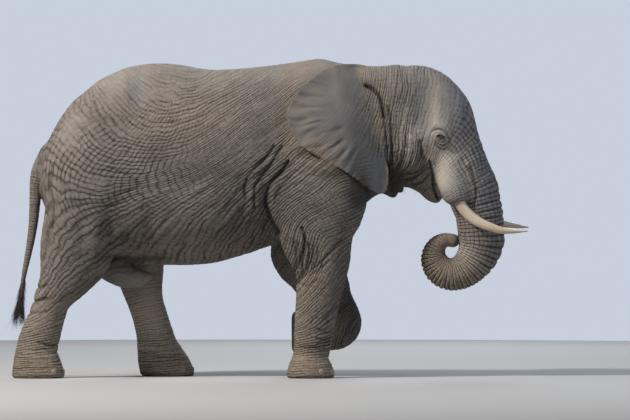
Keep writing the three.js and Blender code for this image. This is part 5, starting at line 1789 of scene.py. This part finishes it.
class ELEPHANT_OT_hair(bpy.types.Operator):
    """Hair: the tail's tuft, eyelashes, and sparse bristles on the chin, trunk and head"""

    bl_idname = "elephant.hair"
    bl_label = "Hair"

    def execute(self, context):
        sizes = context.scene.elephant_sizes
        finish = hair_finish(context.scene.elephant_look)
        self.tail(sizes, finish)
        self.lashes(sizes, finish)
        self.bristles(sizes, finish)
        return {"FINISHED"}

    def tail(self, sizes, finish):
        """Hairs in two rows, fore and aft on the tail's last stretch, longest at its end."""
        rng = np.random.default_rng(7)
        count = sizes.tail_hairs
        path = sampled(TAIL, 8)
        last = path[path[:, 2] < TUFT_BELOW]
        t = rng.uniform(0, 1, count) ** 0.6
        x, y, z, fore, wide = (np.interp(t, np.linspace(0, 1, len(last)), column) for column in last.T)
        turn = rng.choice([0, math.pi], count) + rng.normal(0, 0.9, count)
        roots = np.stack([x + np.cos(turn) * fore * 0.7, y + np.sin(turn) * wide * 0.7, z], 1)
        lean = rng.uniform(0.05, 0.38, count)
        way = unit(np.stack([np.cos(turn) * lean - 0.10, np.sin(turn) * lean * 0.8, -np.ones(count)], 1))
        long = sizes.hair_long * mix(0.45, 1.0, t**2) * rng.uniform(0.35, 1.0, count) ** 0.8
        droop = rng.uniform(0.0, 0.25, count)
        paths = drooping(roots, way, long * 0.85, droop, rng, 0.09)
        thick = sizes.hair_thick * rng.uniform(0.6, 1.0, count)
        where = np.stack([0.05 + 0.1 * (turn % (2 * math.pi)) / (2 * math.pi), 0.1 + 0.3 * t], 1)
        dress(hairs("tail_hairs", paths, thick, where), finish, "tail_hair", "tail_tuft")

    def lashes(self, sizes, finish):
        """A row along each upper lid, pointing out and down."""
        rng = np.random.default_rng(11)
        t = np.linspace(-1, 1, sizes.lashes)
        for name, side in SIDES.items():
            eye = centre(f"eye_{name}") - ORIGIN
            start = np.stack([eye[0] + 0.030 * t, 0 * t + eye[1], EYE_Z + 0.010 * (1 - t * t) + 0.003], 1)
            roots = start + (0, side * 0.022, 0)
            way = unit(np.stack([0.25 * t + 0.15, 0 * t + side, 0 * t - 0.35], 1))
            long = rng.uniform(0.035, 0.055, len(t))
            paths = drooping(roots, way, long, 0.4 + 0 * t, rng, 0.05)
            where = np.stack([0.6 + 0.02 * t, 0.7 + 0.1 * side + 0 * t], 1)
            dress(hairs(f"eyelashes_{name}", paths, LASH_THICK + 0 * t, where), finish, "tail_hair")

    def bristles(self, sizes, finish):
        """Short stiff hairs scattered over patches of the head: under the chin, along the front of
        the trunk and on the crown."""
        rng = np.random.default_rng(13)
        count = sizes.bristles
        middle, spread = (np.array(part) for part in zip(*BRISTLY))
        pick = rng.integers(0, len(BRISTLY), count)
        flat = middle[pick] + rng.normal(0, 1, (count, 2)) * spread[pick]
        side = rng.choice([RIGHT, LEFT], count)
        start = np.stack([flat[:, 0], side * rng.uniform(0.02, 0.5, count), flat[:, 1]], 1)
        on_skin = onto_flesh(start[np.abs(flesh(start)) < 0.25], 5)
        there, slope = slope_of(flesh, on_skin)
        good = np.abs(there) < 0.002
        roots, normal = on_skin[good], unit(slope[good])
        long = rng.uniform(0.015, 0.045, len(roots))
        paths = drooping(roots - normal * 0.012, normal + (0, 0, -0.3), long, 0.2 + 0 * long, rng, 0.08)
        where = np.stack([0.3 + 0.08 * roots[:, 0], 0.5 + 0.12 * roots[:, 1]], 1)
        dress(hairs("bristles", paths, BRISTLE_THICK + 0 * long, where), finish, "tail_hair")


# ------------------------------------------------------------------ floor, lights and camera
VIEW_AT = (0.45, 0.0, 1.67)  # own place in the middle of the view
VIEW_WIDE = 6.3  # width that the view takes in there
SENSOR = 36.0
FLOOR_RADIUS, FLOOR_SIDES = 14.0, 96
LIGHTS = [  # name, place, aimed at, colour, size, watts
    ("sun", (-10.2, -7.2, 13.0), (0.0, 0.0, 1.6), (1.0, 0.96, 0.91), 2.2, 3500),
    ("sky_side", (9.5, -4.0, 10.5), (0.4, 0.0, 1.5), (0.74, 0.86, 1.0), 6.0, 560),
    ("far_side", (2.0, 13.0, 8.0), (0.0, 0.0, 1.5), (0.84, 0.91, 1.0), 7.0, 900),
]
SKY = (0.80, 0.87, 1.0)
SKY_LIGHT, SKY_SEEN = 0.22, 0.72  # strength as a light and as a background


def aimed(thing, place, target):
    """Puts a light or camera at a place and turns it to look at a target."""
    direction = Vector(target) - Vector(place)
    thing.location = place
    thing.rotation_euler = direction.to_track_quat("-Z", "Y").to_euler()


class ELEPHANT_OT_stage(bpy.types.Operator):
    """Round pale floor, three soft lights, a sky that the camera sees brighter, and the camera"""

    bl_idname = "elephant.stage"
    bl_label = "Stage"

    def execute(self, context):
        scene, stage = context.scene, context.scene.elephant_stage
        turn = np.linspace(0.02, math.pi - 0.02, FLOOR_SIDES)
        rim = FLOOR_RADIUS * ring_of(turn, np.array((1, 0, 0)), np.array((0, 1, 0)))
        places = np.concatenate([rim, rim * (1, -1, 1)])
        i = np.arange(FLOOR_SIDES - 1)
        faces = np.stack([i, i + 1, i + 1 + FLOOR_SIDES, i + FLOOR_SIDES], 1)
        floor = mesh_of("floor", places, faces)
        floor.data.materials.append(plain_finish("studio_floor", stage.floor, 0.9))
        for name, place, target, tint, size, watts in LIGHTS:
            light = bpy.data.lights.new(name, "AREA")
            light.shape = "DISK"
            light.size = size
            light.energy = watts
            light.color = tint
            aimed(placed(name, light), place, target)
        world = bpy.data.worlds.new("studio")
        world.use_nodes = True
        tree = world.node_tree
        ray = tree.nodes.new("ShaderNodeLightPath")
        both = tree.nodes.new("ShaderNodeMixShader")
        tree.links.new(ray.outputs["Is Camera Ray"], both.inputs[0])
        for slot, strength in ((1, SKY_LIGHT), (2, SKY_SEEN)):
            sky = tree.nodes.new("ShaderNodeBackground")
            sky.inputs["Color"].default_value = rgb(SKY)
            sky.inputs["Strength"].default_value = strength
            tree.links.new(sky.outputs[0], both.inputs[slot])
        tree.links.new(both.outputs[0], tree.nodes["World Output"].inputs["Surface"])
        scene.world = world
        camera = bpy.data.cameras.new("camera")
        camera.sensor_width = SENSOR
        camera.lens = SENSOR * stage.distance / VIEW_WIDE
        camera.clip_end = 3 * stage.distance
        holder = placed("camera", camera)
        target = np.array(VIEW_AT) + ORIGIN
        aimed(holder, (target[0], target[1] - stage.distance, stage.height), target)
        scene.camera = holder
        scene.view_settings.view_transform = "Standard"
        return {"FINISHED"}


# ------------------------------------------------------------------ panel and start
class ELEPHANT_PT_panel(bpy.types.Panel):
    """Lists the sizes, the colours and the pieces in the sidebar"""

    bl_idname = "ELEPHANT_PT_panel"
    bl_label = "Bush elephant"
    bl_space_type = "VIEW_3D"
    bl_region_type = "UI"
    bl_category = "Elephant"

    def draw(self, context):
        for group in (getattr(context.scene, name) for name in GROUPS):
            column = self.layout.column(align=True)
            for name in group.__annotations__:
                column.prop(group, name)
        for operator in OPERATORS:
            self.layout.operator(operator.bl_idname)


GROUPS = {"elephant_sizes": ElephantSizes, "elephant_look": ElephantLook, "elephant_stage": ElephantStage}
OPERATORS = (
    ELEPHANT_OT_stage, ELEPHANT_OT_skin, ELEPHANT_OT_eyes, ELEPHANT_OT_tusks, ELEPHANT_OT_nails,
    ELEPHANT_OT_hair,
)
CLASSES = (*GROUPS.values(), *OPERATORS, ELEPHANT_PT_panel)


def register():
    """Makes the classes known and hangs the groups of sizes and colours on the scene."""
    for item in CLASSES:
        bpy.utils.register_class(item)
    for name, group in GROUPS.items():
        setattr(bpy.types.Scene, name, PointerProperty(type=group))


def unregister():
    """Takes away all that register adds."""
    for name in GROUPS:
        delattr(bpy.types.Scene, name)
    for item in reversed(CLASSES):
        bpy.utils.unregister_class(item)


def main():
    """Makes every piece."""
    register()
    bpy.ops.elephant.stage()
    bpy.ops.elephant.skin()
    bpy.ops.elephant.eyes()
    bpy.ops.elephant.tusks()
    bpy.ops.elephant.nails()
    bpy.ops.elephant.hair()
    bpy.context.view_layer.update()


if __name__ == "__main__":
    main()
